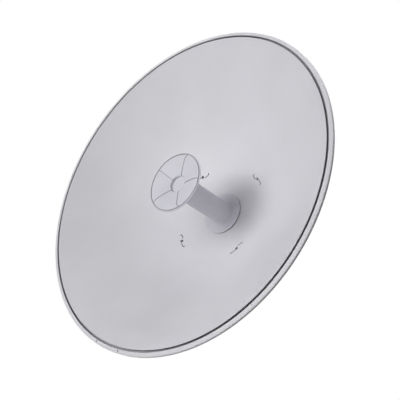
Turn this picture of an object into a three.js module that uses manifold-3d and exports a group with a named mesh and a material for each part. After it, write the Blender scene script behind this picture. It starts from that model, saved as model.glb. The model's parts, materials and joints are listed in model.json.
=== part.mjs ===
// Outdoor wireless bridge: a dish antenna with its radio in the feed, on a tilting mast clamp.
// Millimetres. +Z is up, the dish faces -Y, and the origin is the mast's axis at the clamp's middle.

import * as THREE from 'three';
import { mergeVertices } from 'three/addons/utils/BufferGeometryUtils.js';
import Module from 'manifold-3d';

const wasm = await Module();
wasm.setup();

// ---- Driving dimensions ------------------------------------------------------------------------

const GAP = 0.3; // clearance between touching pieces

// Dish
const RIM_TO_MAST = 200; // rim plane to the mast's axis
const DISH_R = 210; // outer radius of the rim
const DISH_DEPTH = 107.3; // rim plane to the vertex of the reflector
const DISH_CURVE = 384; // four times the focal length
const SHEET = 1.5; // dish sheet thickness
const BOWL_R = 202.4; // where the reflector meets the rim's groove
const DISH_STEPS = 60; // facets round the dish
const DISH_HOLE_R = 26; // hole for the feed
const SEAT_R = 67.15; // radius of the four screw seats
const SEAT_ANGLES = [45, 135, 225, 315];
const SEAT_HOLE_R = 1.8;
const SLIT = { near: 2.6, far: 10, half: 0.4, hook: 2.6 }; // hooked slits beside each screw seat
const DRAIN = { angles: [-88.35, -99.12], circle: 207, radius: 0.9 }; // drain holes in the rim's groove

// Feed
const TUBE_R = 14.6;
const TUBE_WALL = 1.8;
const FLANGE_R = 28.3;
const FLANGE_FRONT = 103.5; // depth of the base flange's front
const BARREL_R = 25.4; // the part of the feed behind the dish
const BARREL_WALL = 1.8;
const BARREL_END = 126;
const CAP_R = 39.24;
const CAP_FRONT = 3.7;
const GROOVE = { count: 5, first: 83.5, half: 0.4, from: 12.5, to: 38.4 }; // radial grooves in the cap
const BOARD = { left: -6.8, right: -5.2, half: 9.6, from: 26, to: 125 };
const JACK = { left: -4.9, right: 8.6, from: 108.8, to: 124.6, low: -20, high: -0.5, wall: 1.3 };
const PIPES = { xs: [-6, 0, 6], z: 12, radius: 1.2, hole: 1.6 }; // light pipes of the lamps

// Rear housing
const HOUSING_R = 86;
const HOUSING_WALL = 2.2;
const HOUSING_BACK = 129; // depth of the outer rear face
const SOCKET_R = 30.2; // tube round the feed's barrel
const BOSS_R = 6;
const DOOR = { half: 18, low: -75, high: -35, thick: 2.2 };
const LATCH = { half: 6, low: 49, high: 63, travel: 4 };
const CABLE_DEPTH = 110; // depth of the cable's hole in the side of the housing
const RESET = { x: -9.4, depth: 117, radius: 1.4, low: -20.6, high: -9 };

// Mount
const PLATE = 2.5; // steel of both brackets
const PIVOT = { y: -48, z: -14 };
const LOCK_RADIUS = 28; // pivot to the lock bolts in their curved slots
const TILT = 20; // degrees each way
const EAR_X = 44; // outer face of the tilt bracket's ears
const MAST_R = 24.15; // a 48.3 mm pipe
const V_HALF = 60; // half angle of the toothed V notches, in degrees
const WEB_Y = -30; // front face of the mast bracket's web
const CLAMP_X = 30; // clamp bolts to the mast's axis
const CLAMP_END = 40; // tips of the clamp bolts
const CRADLE = { half: 40.7, high: 24 }; // mast bracket's half width and half height
const SADDLE = { half: 36.5, high: 18 };
const V_TIP = 13; // how far the V flanges stop short of the mast's axis
const BIG = { shank: 3.9, hole: 4.4, bore: 4.3 }; // 8 mm bolts
const SMALL = { shank: 2.9, hole: 3.4, bore: 3.3 }; // 6 mm bolts
const EARTH_SCREW_X = -51;
const EARTH_PAD = 0.6; // height of the coined pad for an earth lug

const RAD = Math.PI / 180;

// ---- Helpers -----------------------------------------------------------------------------------

const antenna = new THREE.Group();

// Depth behind the rim plane, as a Y coordinate of the part.
const atDepth = (depth) => depth - RIM_TO_MAST;

function toSolid(geometry) {
  const g = geometry.index ? geometry.toNonIndexed() : geometry.clone();
  g.deleteAttribute('normal');
  g.deleteAttribute('uv');
  const merged = mergeVertices(g, 1e-4);
  return new wasm.Manifold(new wasm.Mesh({
    numProp: 3,
    vertProperties: Float32Array.from(merged.attributes.position.array),
    triVerts: Uint32Array.from(merged.index.array),
  }));
}

function toGeometry(solid) {
  const mesh = solid.getMesh();
  const g = new THREE.BufferGeometry();
  g.setAttribute('position', new THREE.BufferAttribute(Float32Array.from(mesh.vertProperties), 3));
  g.setIndex(new THREE.BufferAttribute(Uint32Array.from(mesh.triVerts), 1));
  return g;
}

const cut = (solid, ...tools) => tools.reduce((s, t) => s.subtract(toSolid(t)), solid);
const join = (solid, ...more) => more.reduce((s, t) => s.add(toSolid(t)), solid);

function box(x0, x1, y0, y1, z0, z1) {
  return new THREE.BoxGeometry(x1 - x0, y1 - y0, z1 - z0)
    .translate((x0 + x1) / 2, (y0 + y1) / 2, (z0 + z1) / 2);
}

// A cylinder between two positions along one axis.
function rod(axis, radius, from, to, a = 0, b = 0, sides = 24) {
  const g = new THREE.CylinderGeometry(radius, radius, to - from, sides);
  const middle = (from + to) / 2;
  if (axis === 'x') return g.rotateZ(Math.PI / 2).translate(middle, a, b);
  if (axis === 'y') return g.translate(a, middle, b);
  return g.rotateX(Math.PI / 2).translate(a, b, middle);
}

// A closed profile of [radius, depth] points turned about the dish's axis.
function turned(points, steps = 32) {
  const profile = points.map(([r, d]) => new THREE.Vector2(r, atDepth(d)));
  const first = profile[0];
  if (first.x > 0) profile.push(first.clone());
  const area = profile.reduce((sum, p, i) => {
    const q = profile[(i + 1) % profile.length];
    return sum + p.x * q.y - q.x * p.y;
  }, 0);
  if (area < 0) profile.reverse();
  return new THREE.LatheGeometry(profile, steps);
}

// A flat outline of [x, z] points, extruded from y0 to y1.
function slabY(outline, y0, y1, holes = []) {
  const shape = shapeOf(outline);
  shape.holes = holes.map(shapeOf);
  return new THREE.ExtrudeGeometry(shape, { depth: y1 - y0, bevelEnabled: false })
    .rotateX(Math.PI / 2).translate(0, y1, 0);
}

// A flat outline of [y, z] points, extruded from x0 to x1.
function slabX(outline, x0, x1, holes = []) {
  const shape = shapeOf(outline);
  shape.holes = holes.map(shapeOf);
  return new THREE.ExtrudeGeometry(shape, { depth: x1 - x0, bevelEnabled: false })
    .rotateY(Math.PI / 2).rotateX(Math.PI / 2).translate(x0, 0, 0);
}

// A flat outline of [x, y] points, extruded from z0 to z1.
function slabZ(outline, z0, z1) {
  return new THREE.ExtrudeGeometry(shapeOf(outline), { depth: z1 - z0, bevelEnabled: false })
    .translate(0, 0, z0);
}

// A counter-clockwise shape from outline points.
function shapeOf(points) {
  const outline = points.map(([a, b]) => new THREE.Vector2(a, b));
  return new THREE.Shape(THREE.ShapeUtils.isClockWise(outline) ? outline.reverse() : outline);
}

function arc(cx, cy, radius, from, to, steps) {
  return Array.from({ length: steps + 1 }, (_, i) => {
    const angle = (from + ((to - from) * i) / steps) * RAD;
    return [cx + radius * Math.cos(angle), cy + radius * Math.sin(angle)];
  });
}

const circle = (cx, cy, radius, steps = 24) => arc(cx, cy, radius, 0, 360 - 360 / steps, steps - 1);

function part(name, shape, colour, roughness, metalness = 0) {
  const geometry = shape.isBufferGeometry ? shape : toGeometry(shape);
  const material = new THREE.MeshStandardMaterial({ color: colour, roughness, metalness });
  const mesh = new THREE.Mesh(geometry, material);
  mesh.name = name;
  antenna.add(mesh);
}

const coated = (name, shape) => part(name, shape, '#cccbd1', 0.45);
const moulded = (name, shape) => part(name, shape, '#c9c8cf', 0.5);
const steel = (name, shape) => part(name, shape, '#9aa0a6', 0.35, 1);
const bolt = (name, shape) => part(name, shape, '#b4b7ba', 0.3, 1);
const rubber = (name, shape) => part(name, shape, '#2a2b2d', 0.85);

// ---- Dish --------------------------------------------------------------------------------------

const frontDepth = (r) => DISH_DEPTH - (r * r) / DISH_CURVE;
const backDepth = (r) => frontDepth(r) + SHEET * Math.hypot(1, (2 * r) / DISH_CURVE);

function dishProfile() {
  const bands = 8;
  const span = BOWL_R - DISH_HOLE_R;
  const radii = Array.from({ length: bands + 1 }, (_, i) => DISH_HOLE_R + (span * i) / bands);
  const front = radii.map((r) => [r, frontDepth(r)]);
  const rim = [
    [202.8, 3.2], [204.4, 3.2], [205.0, 0.5], [205.6, 0], [208.4, 0], [209.6, 0.5], [DISH_R, 1.6],
    [DISH_R, 4.5], [207.2, 4.5], [207.2, 3.3], [208.6, 3.3], [208.6, 1.6], [206.3, 1.6], [206.0, 4.7],
    [201.6, 4.7],
  ];
  const back = radii.slice(0, -1).reverse().map((r) => [r, backDepth(r)]);
  return [...front, ...rim, ...back];
}

const inOrder = (a, b) => (a < b ? [a, b] : [b, a]);

// A screw seat: a small hole between two hooked slits that free a bridge of the sheet.
function seatCuts(angle) {
  const deep = atDepth(frontDepth(SEAT_R) + 12);
  const near = atDepth(frontDepth(SEAT_R) - 12);
  const slit = (side, drop, hook) => {
    const end = side * SLIT.far;
    const [x0, x1] = inOrder(side * SLIT.near, end);
    const [z0, z1] = inOrder(drop, drop + hook);
    return [
      box(x0, x1, near, deep, drop - SLIT.half, drop + SLIT.half),
      box(end - SLIT.half, end + SLIT.half, near, deep, z0, z1),
    ];
  };
  const mirror = Math.cos(angle * RAD) > 0 ? -1 : 1;
  const slits = [...slit(mirror, -3, SLIT.hook), ...slit(-mirror, 1.2, -SLIT.hook)];
  return [rod('y', SEAT_HOLE_R, near, deep, 0, 0, 12), ...slits]
    .map((g) => g.translate(0, 0, SEAT_R).rotateY((90 - angle) * RAD));
}

function makeDish() {
  const drains = DRAIN.angles.map((angle) => {
    const x = DRAIN.circle * Math.cos(angle * RAD);
    const z = DRAIN.circle * Math.sin(angle * RAD);
    return rod('y', DRAIN.radius, atDepth(-2), atDepth(6), x, z, 8);
  });
  const seats = SEAT_ANGLES.flatMap(seatCuts);
  coated('dish_reflector', cut(toSolid(turned(dishProfile(), DISH_STEPS)), ...seats, ...drains));
}

// ---- Feed --------------------------------------------------------------------------------------

function makeFeedTube() {
  const inner = TUBE_R - TUBE_WALL;
  const barrelInner = BARREL_R - BARREL_WALL;
  const lip = FLANGE_FRONT + 1.4;
  const body = turned([
    [TUBE_R, 14.8], [TUBE_R, 98], [15.2, 101.4], [17.4, 103.1], [20, FLANGE_FRONT],
    [FLANGE_R - 0.5, FLANGE_FRONT], [FLANGE_R, FLANGE_FRONT + 0.5], [FLANGE_R, lip], [BARREL_R, lip],
    [BARREL_R, 111], [BARREL_R - 0.8, 111.4], [BARREL_R - 0.8, 113.6], [BARREL_R, 114],
    [BARREL_R, BARREL_END], [barrelInner, BARREL_END], [barrelInner, 107], [inner, 106], [inner, 14.8],
  ]);
  const jackSlot = box(-12, 11, atDepth(108.4), atDepth(BARREL_END + 1), -30, 0);
  const latchSlot = box(-4, 4, atDepth(119.4), atDepth(123.4), 20, 30);
  moulded('feed_tube', cut(toSolid(body), jackSlot, latchSlot));
}

function makeFeedCap() {
  const body = turned([
    [0, 14], [10.9, 14], [11.5, 10.8], [16, 9.3], [22, 6.6], [27, 4.6], [31, CAP_FRONT + 0.2],
    [34.2, CAP_FRONT], [36, 4.4], [CAP_R, 4.4], [CAP_R, 6.4], [38, 6.4], [37.2, 6.2],
    [27.2, 6.6], [16.2, 11.3], [12.4, 12.6], [12.4, 22], [11, 22], [11, 15.8], [0, 15.8],
  ]);
  const step = 360 / GROOVE.count;
  const grooves = Array.from({ length: GROOVE.count }, (_, i) =>
    box(GROOVE.from, GROOVE.to, -0.5, 0.5, -GROOVE.half, GROOVE.half)
      .translate(0, atDepth(CAP_FRONT + 0.7), 0).rotateY((step * i - GROOVE.first) * RAD));
  moulded('feed_cap', cut(toSolid(body), ...grooves));
}

function makeFeedInside() {
  const reflector = turned([
    [15.4, 12.0], [27.4, 7.0], [36.8, 7.0], [36.8, 7.8], [27.6, 7.8], [15.4, 12.9],
  ]);
  part('subreflector', reflector, '#b9bcc0', 0.3, 1);

  const board = box(BOARD.left, BOARD.right, atDepth(BOARD.from), atDepth(BOARD.to),
    -BOARD.half, BOARD.half);
  part('feed_board', board, '#1f5a3a', 0.6);
  const onBoard = BOARD.right + GAP;
  const radiator = slabX(
    [[atDepth(24), -8.5], [atDepth(38), -8.5], [atDepth(38), 8.5], [atDepth(24), 8.5],
      [atDepth(24), 6], [atDepth(34), 2], [atDepth(34), -2], [atDepth(24), -6]],
    onBoard, onBoard + 0.6);
  part('feed_radiator', radiator, '#b87333', 0.35, 1);
  for (const [name, from, to] of [['shield_can_front', 42, 66], ['shield_can_rear', 70, 98]]) {
    part(name, box(onBoard, onBoard + 3.3, atDepth(from), atDepth(to), -8.4, 8.4), '#c0c3c6', 0.35, 1);
  }

  const jackBody = toSolid(box(JACK.left, JACK.right, atDepth(JACK.from), atDepth(JACK.to),
    JACK.low, JACK.high));
  const jackMouth = box(JACK.left + JACK.wall, JACK.right - JACK.wall, atDepth(JACK.from + 1.6),
    atDepth(JACK.to - 1.6), JACK.low - 2, JACK.low + 14);
  part('ethernet_jack', cut(jackBody, jackMouth), '#a9adb1', 0.35, 1);

  const rearCap = toSolid(turned([
    [0, 126.3], [25, 126.3], [25, 128.4], [24.2, HOUSING_BACK], [0, HOUSING_BACK],
  ]));
  const pipeHoles = PIPES.xs.map((x) =>
    rod('y', PIPES.hole, atDepth(120), atDepth(HOUSING_BACK + 2), x, PIPES.z, 12));
  moulded('feed_rear_cap', cut(rearCap, ...pipeHoles));
  const pipeBar = box(-7.4, 7.4, atDepth(123.6), atDepth(125.4), PIPES.z - 1.4, PIPES.z + 1.4);
  const pipes = PIPES.xs.map((x) =>
    rod('y', PIPES.radius, atDepth(123.9), atDepth(HOUSING_BACK + GAP), x, PIPES.z, 12));
  part('light_pipes', join(toSolid(pipeBar), ...pipes), '#dfe6ea', 0.15);

  rubber('feed_seal', turned([
    [25, 111.6], [27.2, 111.6], [27.9, 112.5], [27.2, 113.4], [25, 113.4],
  ], 36));
}

// ---- Rear housing ------------------------------------------------------------------------------

// Everything in front of the reflector's back face, which the housing is fitted to.
function bowlClearance() {
  const bands = 6;
  const radii = Array.from({ length: bands + 1 }, (_, i) => (108 * i) / bands);
  const face = radii.map((r) => [r, backDepth(r) + GAP]);
  return turned([...face, [108, 20], [0, 20]], DISH_STEPS);
}

function seatPoint(angle) {
  return [SEAT_R * Math.cos(angle * RAD), SEAT_R * Math.sin(angle * RAD)];
}

function makeHousing() {
  const inner = HOUSING_R - HOUSING_WALL;
  const floor = HOUSING_BACK - HOUSING_WALL;
  const shell = turned([
    [BARREL_R + GAP, HOUSING_BACK], [HOUSING_R - 9, HOUSING_BACK], [HOUSING_R - 3, HOUSING_BACK - 3],
    [HOUSING_R, HOUSING_BACK - 9], [HOUSING_R, 84], [inner, 84], [inner, floor - 7],
    [inner - 4, floor - 1.4], [inner - 8, floor], [BARREL_R + GAP, floor],
  ], DISH_STEPS);
  const bosses = SEAT_ANGLES.map((angle) => {
    const [x, z] = seatPoint(angle);
    return rod('y', BOSS_R, atDepth(88), atDepth(floor + 1), x, z, 20);
  });
  const bores = SEAT_ANGLES.map((angle) => {
    const [x, z] = seatPoint(angle);
    return rod('y', 2.4, atDepth(80), atDepth(HOUSING_BACK + 2), x, z, 16);
  });
  const far = atDepth(HOUSING_BACK + 2);
  const doorway = box(-DOOR.half, DOOR.half, atDepth(floor - 2), far, DOOR.low, DOOR.high);
  const latchWindow = box(-LATCH.half - 0.6, LATCH.half + 0.6, atDepth(floor - 2), far,
    LATCH.low - 0.6, LATCH.high + LATCH.travel + 0.6);
  const glandHole = rod('z', 6.3, -HOUSING_R - 2, 6 - HOUSING_R, 0, atDepth(CABLE_DEPTH), 20);
  const hingeSeat = rod('x', 2.6, -DOOR.half - 0.1, DOOR.half + 0.1, atDepth(HOUSING_BACK - 1.1),
    DOOR.low + 0.6, 12);
  moulded('rear_housing', cut(join(toSolid(shell), ...bosses), bowlClearance(), ...bores, doorway,
    latchWindow, glandHole, hingeSeat));
}

// The tube behind the dish that the feed's barrel plugs into, open below for the plug.
function makeFeedSocket() {
  const end = HOUSING_BACK - HOUSING_WALL - GAP;
  const tube = turned([
    [SOCKET_R, 100], [SOCKET_R, end - 1.6], [SOCKET_R + 3, end - 1.6], [SOCKET_R + 3, end],
    [SOCKET_R - 2, end], [SOCKET_R - 2, 100],
  ], DISH_STEPS);
  const plugWay = box(-14, 13, atDepth(99), atDepth(end + 1), -45, 0);
  const latchWay = box(-4.6, 4.6, atDepth(118.8), atDepth(end + 1), 20, 36);
  moulded('feed_socket', cut(toSolid(tube), bowlClearance(), plugWay, latchWay));
}

function makeHousingFittings() {
  const pinY = atDepth(HOUSING_BACK - 1.1);
  const pinZ = DOOR.low + 0.6;
  const leaf = toSolid(box(-DOOR.half + 0.5, DOOR.half - 0.5, atDepth(HOUSING_BACK - DOOR.thick),
    atDepth(HOUSING_BACK), pinZ, DOOR.high - 0.5));
  const knuckle = rod('x', 2.2, -DOOR.half + 0.5, DOOR.half - 0.5, pinY, pinZ, 16);
  const lip = box(-6, 6, atDepth(HOUSING_BACK - 0.2), atDepth(HOUSING_BACK + 1.4),
    DOOR.high - 4, DOOR.high - 2.4);
  const bore = rod('x', 1.1, -DOOR.half, DOOR.half, pinY, pinZ, 12);
  moulded('port_door', cut(join(leaf, knuckle, lip), bore));
  bolt('door_pin', rod('x', 0.8, -DOOR.half + 0.2, DOOR.half - 0.2, pinY, pinZ, 12));

  const grommetY = atDepth(CABLE_DEPTH);
  const grommet = new THREE.LatheGeometry([
    new THREE.Vector2(3.2, -88.6), new THREE.Vector2(8, -88.6), new THREE.Vector2(8, -86.6),
    new THREE.Vector2(6, -86.2), new THREE.Vector2(6, -83.2), new THREE.Vector2(7.4, -82.8),
    new THREE.Vector2(6.6, -79), new THREE.Vector2(3.2, -79), new THREE.Vector2(3.2, -88.6),
  ], 20).rotateX(Math.PI / 2).translate(0, grommetY, 0);
  rubber('cable_grommet', grommet);

  const pad = toSolid(box(-LATCH.half, LATCH.half, atDepth(124.6), atDepth(132), LATCH.low, LATCH.high));
  const thumb = [0, 1, 2].map((i) =>
    box(-LATCH.half - 1, LATCH.half + 1, atDepth(131.2), atDepth(133), LATCH.low + 3.2 + 3.4 * i,
      LATCH.low + 4.2 + 3.4 * i));
  const arm = box(-4, 4, atDepth(120), atDepth(123.2), 24.6, LATCH.high);
  const bridge = box(-4, 4, atDepth(120), atDepth(125), LATCH.low + 1, LATCH.high);
  moulded('feed_latch', cut(join(pad, arm, bridge), ...thumb));

  moulded('reset_button', rod('z', RESET.radius, RESET.low, RESET.high, RESET.x,
    atDepth(RESET.depth), 12));
  part('reset_switch', box(-12, -7.1, atDepth(114), atDepth(120), -8, -3), '#3a3c40', 0.6);
}

// ---- Mount -------------------------------------------------------------------------------------

const BASE_Y = atDepth(HOUSING_BACK) + GAP;
const BASE_BACK = BASE_Y + PLATE;

// Outline of the tilt bracket's base: four corners round the seats, notched for door and latch.
function baseOutline() {
  const edge = 56;
  const top = 47;
  return [
    ...arc(edge - 8, edge - 8, 8, 0, 90, 4), [14, edge], [11, top], [-11, top], [-14, edge],
    ...arc(8 - edge, edge - 8, 8, 90, 180, 4), ...arc(8 - edge, 8 - edge, 8, 180, 270, 4),
    [-24, -edge], [-21, -32], [21, -32], [24, -edge], ...arc(edge - 8, 8 - edge, 8, 270, 360, 4),
  ];
}

function lockSlot() {
  const half = TILT + 1;
  const centre = [PIVOT.y, PIVOT.z];
  return [
    ...arc(...centre, LOCK_RADIUS + 3.6, 90 - half, 90 + half, 8),
    ...arc(centre[0] + LOCK_RADIUS * Math.cos((90 + half) * RAD),
      centre[1] + LOCK_RADIUS * Math.sin((90 + half) * RAD), 3.6, 120, 280, 4),
    ...arc(...centre, LOCK_RADIUS - 3.6, 90 + half, 90 - half, 8),
    ...arc(centre[0] + LOCK_RADIUS * Math.cos((90 - half) * RAD),
      centre[1] + LOCK_RADIUS * Math.sin((90 - half) * RAD), 3.6, -100, 60, 4),
  ];
}

function makeTiltBracket() {
  const seats = SEAT_ANGLES.map((angle) => circle(...seatPoint(angle), 2.6, 16));
  const plate = slabY(baseOutline(), BASE_Y, BASE_BACK, [circle(0, 0, 23, 32), ...seats]);
  const earOutline = [
    [BASE_Y + 0.2, -34], ...arc(PIVOT.y + 2, PIVOT.z - 4, 15, -70, 0, 5),
    ...arc(PIVOT.y + 2, PIVOT.z + LOCK_RADIUS + 4, 16, 0, 80, 6), [BASE_Y + 0.2, 38],
  ];
  const ears = [-1, 1].map((side) => {
    const x0 = side > 0 ? EAR_X - PLATE : -EAR_X;
    return slabX(earOutline, x0, x0 + PLATE,
      [circle(PIVOT.y, PIVOT.z, BIG.hole, 20), lockSlot()]);
  });
  const earthPad = box(46.5, 55.5, BASE_BACK - 0.5, BASE_BACK + EARTH_PAD, -7, 7);
  steel('tilt_bracket', join(toSolid(plate), ...ears, earthPad));
}

// Outline in plan of a flange whose toothed V notch, open towards +Y, grips the mast.
function vFlange(halfWidth, base, tip) {
  const slope = Math.tan(V_HALF * RAD);
  const apex = -MAST_R / Math.sin(V_HALF * RAD) - GAP;
  const floor = base + 3.3;
  const teeth = 5;
  const bite = 1.1;
  const right = [];
  for (let i = 0; i <= 2 * teeth; i += 1) {
    const y = tip + ((floor - tip) * i) / (2 * teeth);
    const into = i % 2 ? bite : 0;
    right.push([(y - apex) * slope + into * Math.cos(V_HALF * RAD), y - into * Math.sin(V_HALF * RAD)]);
  }
  const left = right.map(([x, y]) => [-x, y]).reverse();
  return [[-halfWidth, base], [halfWidth, base], [halfWidth, tip - 4], [halfWidth - 4, tip],
    ...right, ...left, [4 - halfWidth, tip], [-halfWidth, tip - 4]];
}

function makeMastBracket() {
  const { half: width, high } = CRADLE;
  const web = box(-width, width, WEB_Y, WEB_Y + PLATE, -high, high);
  const flanges = [[high - PLATE, high], [-high, PLATE - high]].map(([z0, z1]) =>
    slabZ(vFlange(width, WEB_Y + 0.2, -V_TIP), z0, z1));
  const earOutline = [
    [WEB_Y + 0.2, -high], [WEB_Y + 0.2, high], ...arc(PIVOT.y, PIVOT.z + LOCK_RADIUS, 9, 90, 180, 5),
    ...arc(PIVOT.y, PIVOT.z, 10, 180, 270, 5),
  ];
  const ears = [-1, 1].map((side) => {
    const x0 = side > 0 ? width - PLATE : -width;
    return slabX(earOutline, x0, x0 + PLATE, [
      circle(PIVOT.y, PIVOT.z, BIG.hole, 20),
      circle(PIVOT.y, PIVOT.z + LOCK_RADIUS, SMALL.hole, 16),
    ]);
  });
  const holes = [-1, 1].map((side) =>
    rod('y', BIG.hole, WEB_Y - 1, WEB_Y + PLATE + 1, side * CLAMP_X, 0, 20));
  steel('mast_bracket', cut(join(toSolid(web), ...flanges, ...ears), ...holes));
}

function hexNut(axis, across, from, to, bore, a, b) {
  const radius = across / Math.sqrt(3);
  return cut(toSolid(rod(axis, radius, from, to, a, b, 6)), rod(axis, bore, from - 1, to + 1, a, b, 16));
}

function makeMastClamp() {
  const { half: width, high } = SADDLE;
  const front = -WEB_Y - PLATE;
  const web = box(-width, width, front, -WEB_Y, -high, high);
  const flanges = [[high - PLATE, high], [-high, PLATE - high]].map(([z0, z1]) =>
    slabZ(vFlange(width, WEB_Y + 0.2, -V_TIP).map(([x, y]) => [-x, -y]), z0, z1));
  const holes = [-1, 1].map((side) =>
    rod('y', BIG.hole, front - 1, 1 - WEB_Y, side * CLAMP_X, 0, 20));
  steel('clamp_saddle', cut(join(toSolid(web), ...flanges), ...holes));

  for (const [side, word] of [[-1, 'left'], [1, 'right']]) {
    const x = side * CLAMP_X;
    const head = rod('y', 7, WEB_Y - GAP - 4.4, WEB_Y - GAP, x, 0, 24);
    const neck = box(x - 3, x + 3, WEB_Y - GAP - 1, WEB_Y + 1.6, -3, 3);
    const shank = rod('y', BIG.shank, WEB_Y - GAP - 1, CLAMP_END, x, 0, 20);
    bolt(`clamp_bolt_${word}`, join(toSolid(head), neck, shank));
    const washer = cut(toSolid(rod('y', 7.2, -WEB_Y + GAP, -WEB_Y + GAP + 1.4, x, 0, 24)),
      rod('y', BIG.bore, -WEB_Y - 1, -WEB_Y + 4, x, 0, 20));
    bolt(`clamp_washer_${word}`, washer);
    bolt(`clamp_nut_${word}`, hexNut('y', 12, -WEB_Y + 2, -WEB_Y + 8.4, BIG.bore, x, 0));
  }
}

function makeTiltFasteners() {
  const out = EAR_X + GAP;
  const head = rod('x', 7.5, -out - 5.3, -out, PIVOT.y, PIVOT.z, 6);
  const washerFace = rod('x', 8, -out - 1.2, -out, PIVOT.y, PIVOT.z, 24);
  const shank = rod('x', BIG.shank, -out - 1, out + 9, PIVOT.y, PIVOT.z, 20);
  bolt('pivot_bolt', join(toSolid(head), washerFace, shank));
  bolt('pivot_nut', hexNut('x', 13, out, out + 6.5, BIG.bore, PIVOT.y, PIVOT.z));

  const z = PIVOT.z + LOCK_RADIUS;
  const inner = CRADLE.half - PLATE - GAP;
  for (const [side, word] of [[-1, 'left'], [1, 'right']]) {
    const span = (a, b) => (side > 0 ? [a, b] : [-b, -a]);
    const [h0, h1] = span(out + 1.7, out + 7);
    const [s0, s1] = span(inner - 7, out + 2.5);
    bolt(`lock_bolt_${word}`, join(toSolid(rod('x', 6, h0, h1, PIVOT.y, z, 6)),
      rod('x', SMALL.shank, s0, s1, PIVOT.y, z, 16)));
    const [w0, w1] = span(out, out + 1.4);
    bolt(`lock_washer_${word}`, cut(toSolid(rod('x', 6.8, w0, w1, PIVOT.y, z, 24)),
      rod('x', SMALL.bore, w0 - 1, w1 + 1, PIVOT.y, z, 16)));
    const [n0, n1] = span(inner - 5.2, inner);
    bolt(`lock_nut_${word}`, hexNut('x', 10, n0, n1, SMALL.bore, PIVOT.y, z));
  }
}

function makeSmallHardware() {
  SEAT_ANGLES.forEach((angle, i) => {
    const [x, z] = seatPoint(angle);
    const head = rod('y', 5, BASE_BACK + GAP, BASE_BACK + GAP + 3, x, z, 20);
    const shank = rod('y', 1.5, atDepth(frontDepth(SEAT_R) + 1), BASE_BACK + 1, x, z, 12);
    const recess = rod('y', 2.6, BASE_BACK + GAP + 1.4, BASE_BACK + GAP + 4, x, z, 6);
    bolt(`seat_screw_${i + 1}`, cut(join(toSolid(head), shank), recess));
  });
  bolt('ground_screw', rod('y', 5, BASE_BACK + GAP, BASE_BACK + GAP + 4, EARTH_SCREW_X, 0, 6));
}

function makeLevel() {
  const holder = toSolid(box(-9, 9, WEB_Y + 5, WEB_Y + 13, 24.3, 29));
  moulded('level_holder', cut(holder, rod('x', 3.1, -7, 7, WEB_Y + 9, 29, 16)));
  part('level_vial', rod('x', 2.7, -6.6, 6.6, WEB_Y + 9, 29, 16), '#b8d84a', 0.1);
}

makeDish();
makeFeedTube();
makeFeedCap();
makeFeedInside();
makeHousing();
makeFeedSocket();
makeHousingFittings();
makeTiltBracket();
makeMastBracket();
makeMastClamp();
makeTiltFasteners();
makeSmallHardware();
makeLevel();

export default antenna;
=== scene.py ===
"""The finished look of an outdoor wireless bridge: a dish antenna with a feed, on a tilting mast clamp."""

import json
import math

import bmesh
import bpy
from mathutils import Matrix, Vector


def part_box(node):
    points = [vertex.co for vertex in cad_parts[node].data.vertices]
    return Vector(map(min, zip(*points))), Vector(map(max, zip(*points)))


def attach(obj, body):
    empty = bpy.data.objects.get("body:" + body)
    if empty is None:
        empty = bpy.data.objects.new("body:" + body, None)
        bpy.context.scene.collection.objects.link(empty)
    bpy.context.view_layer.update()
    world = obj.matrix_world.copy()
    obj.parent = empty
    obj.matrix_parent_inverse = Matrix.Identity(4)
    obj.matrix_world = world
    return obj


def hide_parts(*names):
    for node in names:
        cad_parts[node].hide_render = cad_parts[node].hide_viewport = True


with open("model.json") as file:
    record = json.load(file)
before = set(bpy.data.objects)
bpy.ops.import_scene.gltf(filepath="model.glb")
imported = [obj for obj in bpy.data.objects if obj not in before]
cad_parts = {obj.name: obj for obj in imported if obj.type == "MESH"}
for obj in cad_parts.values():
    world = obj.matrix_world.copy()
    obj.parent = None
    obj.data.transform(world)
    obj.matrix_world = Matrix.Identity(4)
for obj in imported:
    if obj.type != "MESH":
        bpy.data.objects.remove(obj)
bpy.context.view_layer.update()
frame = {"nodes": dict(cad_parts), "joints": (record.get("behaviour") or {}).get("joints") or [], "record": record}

bl_info = {
    "name": "Outdoor wireless bridge",
    "version": (1, 0, 0),
    "blender": (4, 5, 0),
    "location": "3D View > Sidebar > Dish",
    "description": "Builds the dish, feed, housing and mast clamp of an outdoor wireless bridge",
    "category": "Object",
}

MM = 0.001
NODES = frame["nodes"]


# ---- Places and sizes, from the frame ----------------------------------------------------------


def edges_of(node):
    """Lowest and highest corner of a CAD node, in millimetres."""
    low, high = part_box(node)
    return Vector(low) / MM, Vector(high) / MM


DISH_LOW, DISH_HIGH = edges_of("dish_reflector")
RIM_Y = DISH_LOW.y  # the plane of the rim's front
RIM_R = DISH_HIGH.x
TUBE_LOW, TUBE_HIGH = edges_of("feed_tube")
CAP_R = edges_of("feed_cap")[1].x
CORE_LOW, CORE_HIGH = edges_of("feed_rear_cap")
REAR_Y = CORE_HIGH.y  # the housing's rear face
HOUSING_R = edges_of("rear_housing")[1].x
DOOR_LOW, DOOR_HIGH = edges_of("port_door")
LATCH_LOW, LATCH_HIGH = edges_of("feed_latch")
GROMMET_LOW, GROMMET_HIGH = edges_of("cable_grommet")
CRADLE_LOW, CRADLE_HIGH = edges_of("mast_bracket")
SADDLE_LOW, SADDLE_HIGH = edges_of("clamp_saddle")
HOLDER_LOW, HOLDER_HIGH = edges_of("level_holder")
VIAL_LOW, VIAL_HIGH = edges_of("level_vial")
JACK_LOW, JACK_HIGH = edges_of("ethernet_jack")
TILT_JOINT = next(joint for joint in frame["joints"] if joint["name"] == "elevation_tilt")
PIVOT_Y, PIVOT_Z = TILT_JOINT["pos_m"][1] / MM, TILT_JOINT["pos_m"][2] / MM
SEAT_ANGLES = (45, 135, 225, 315)
BODIES = frame["record"]["behaviour"]["bodies"]
NODE_BODY = {node: body for body, nodes in BODIES.items() for node in nodes}


# ---- Settings ----------------------------------------------------------------------------------


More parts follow.
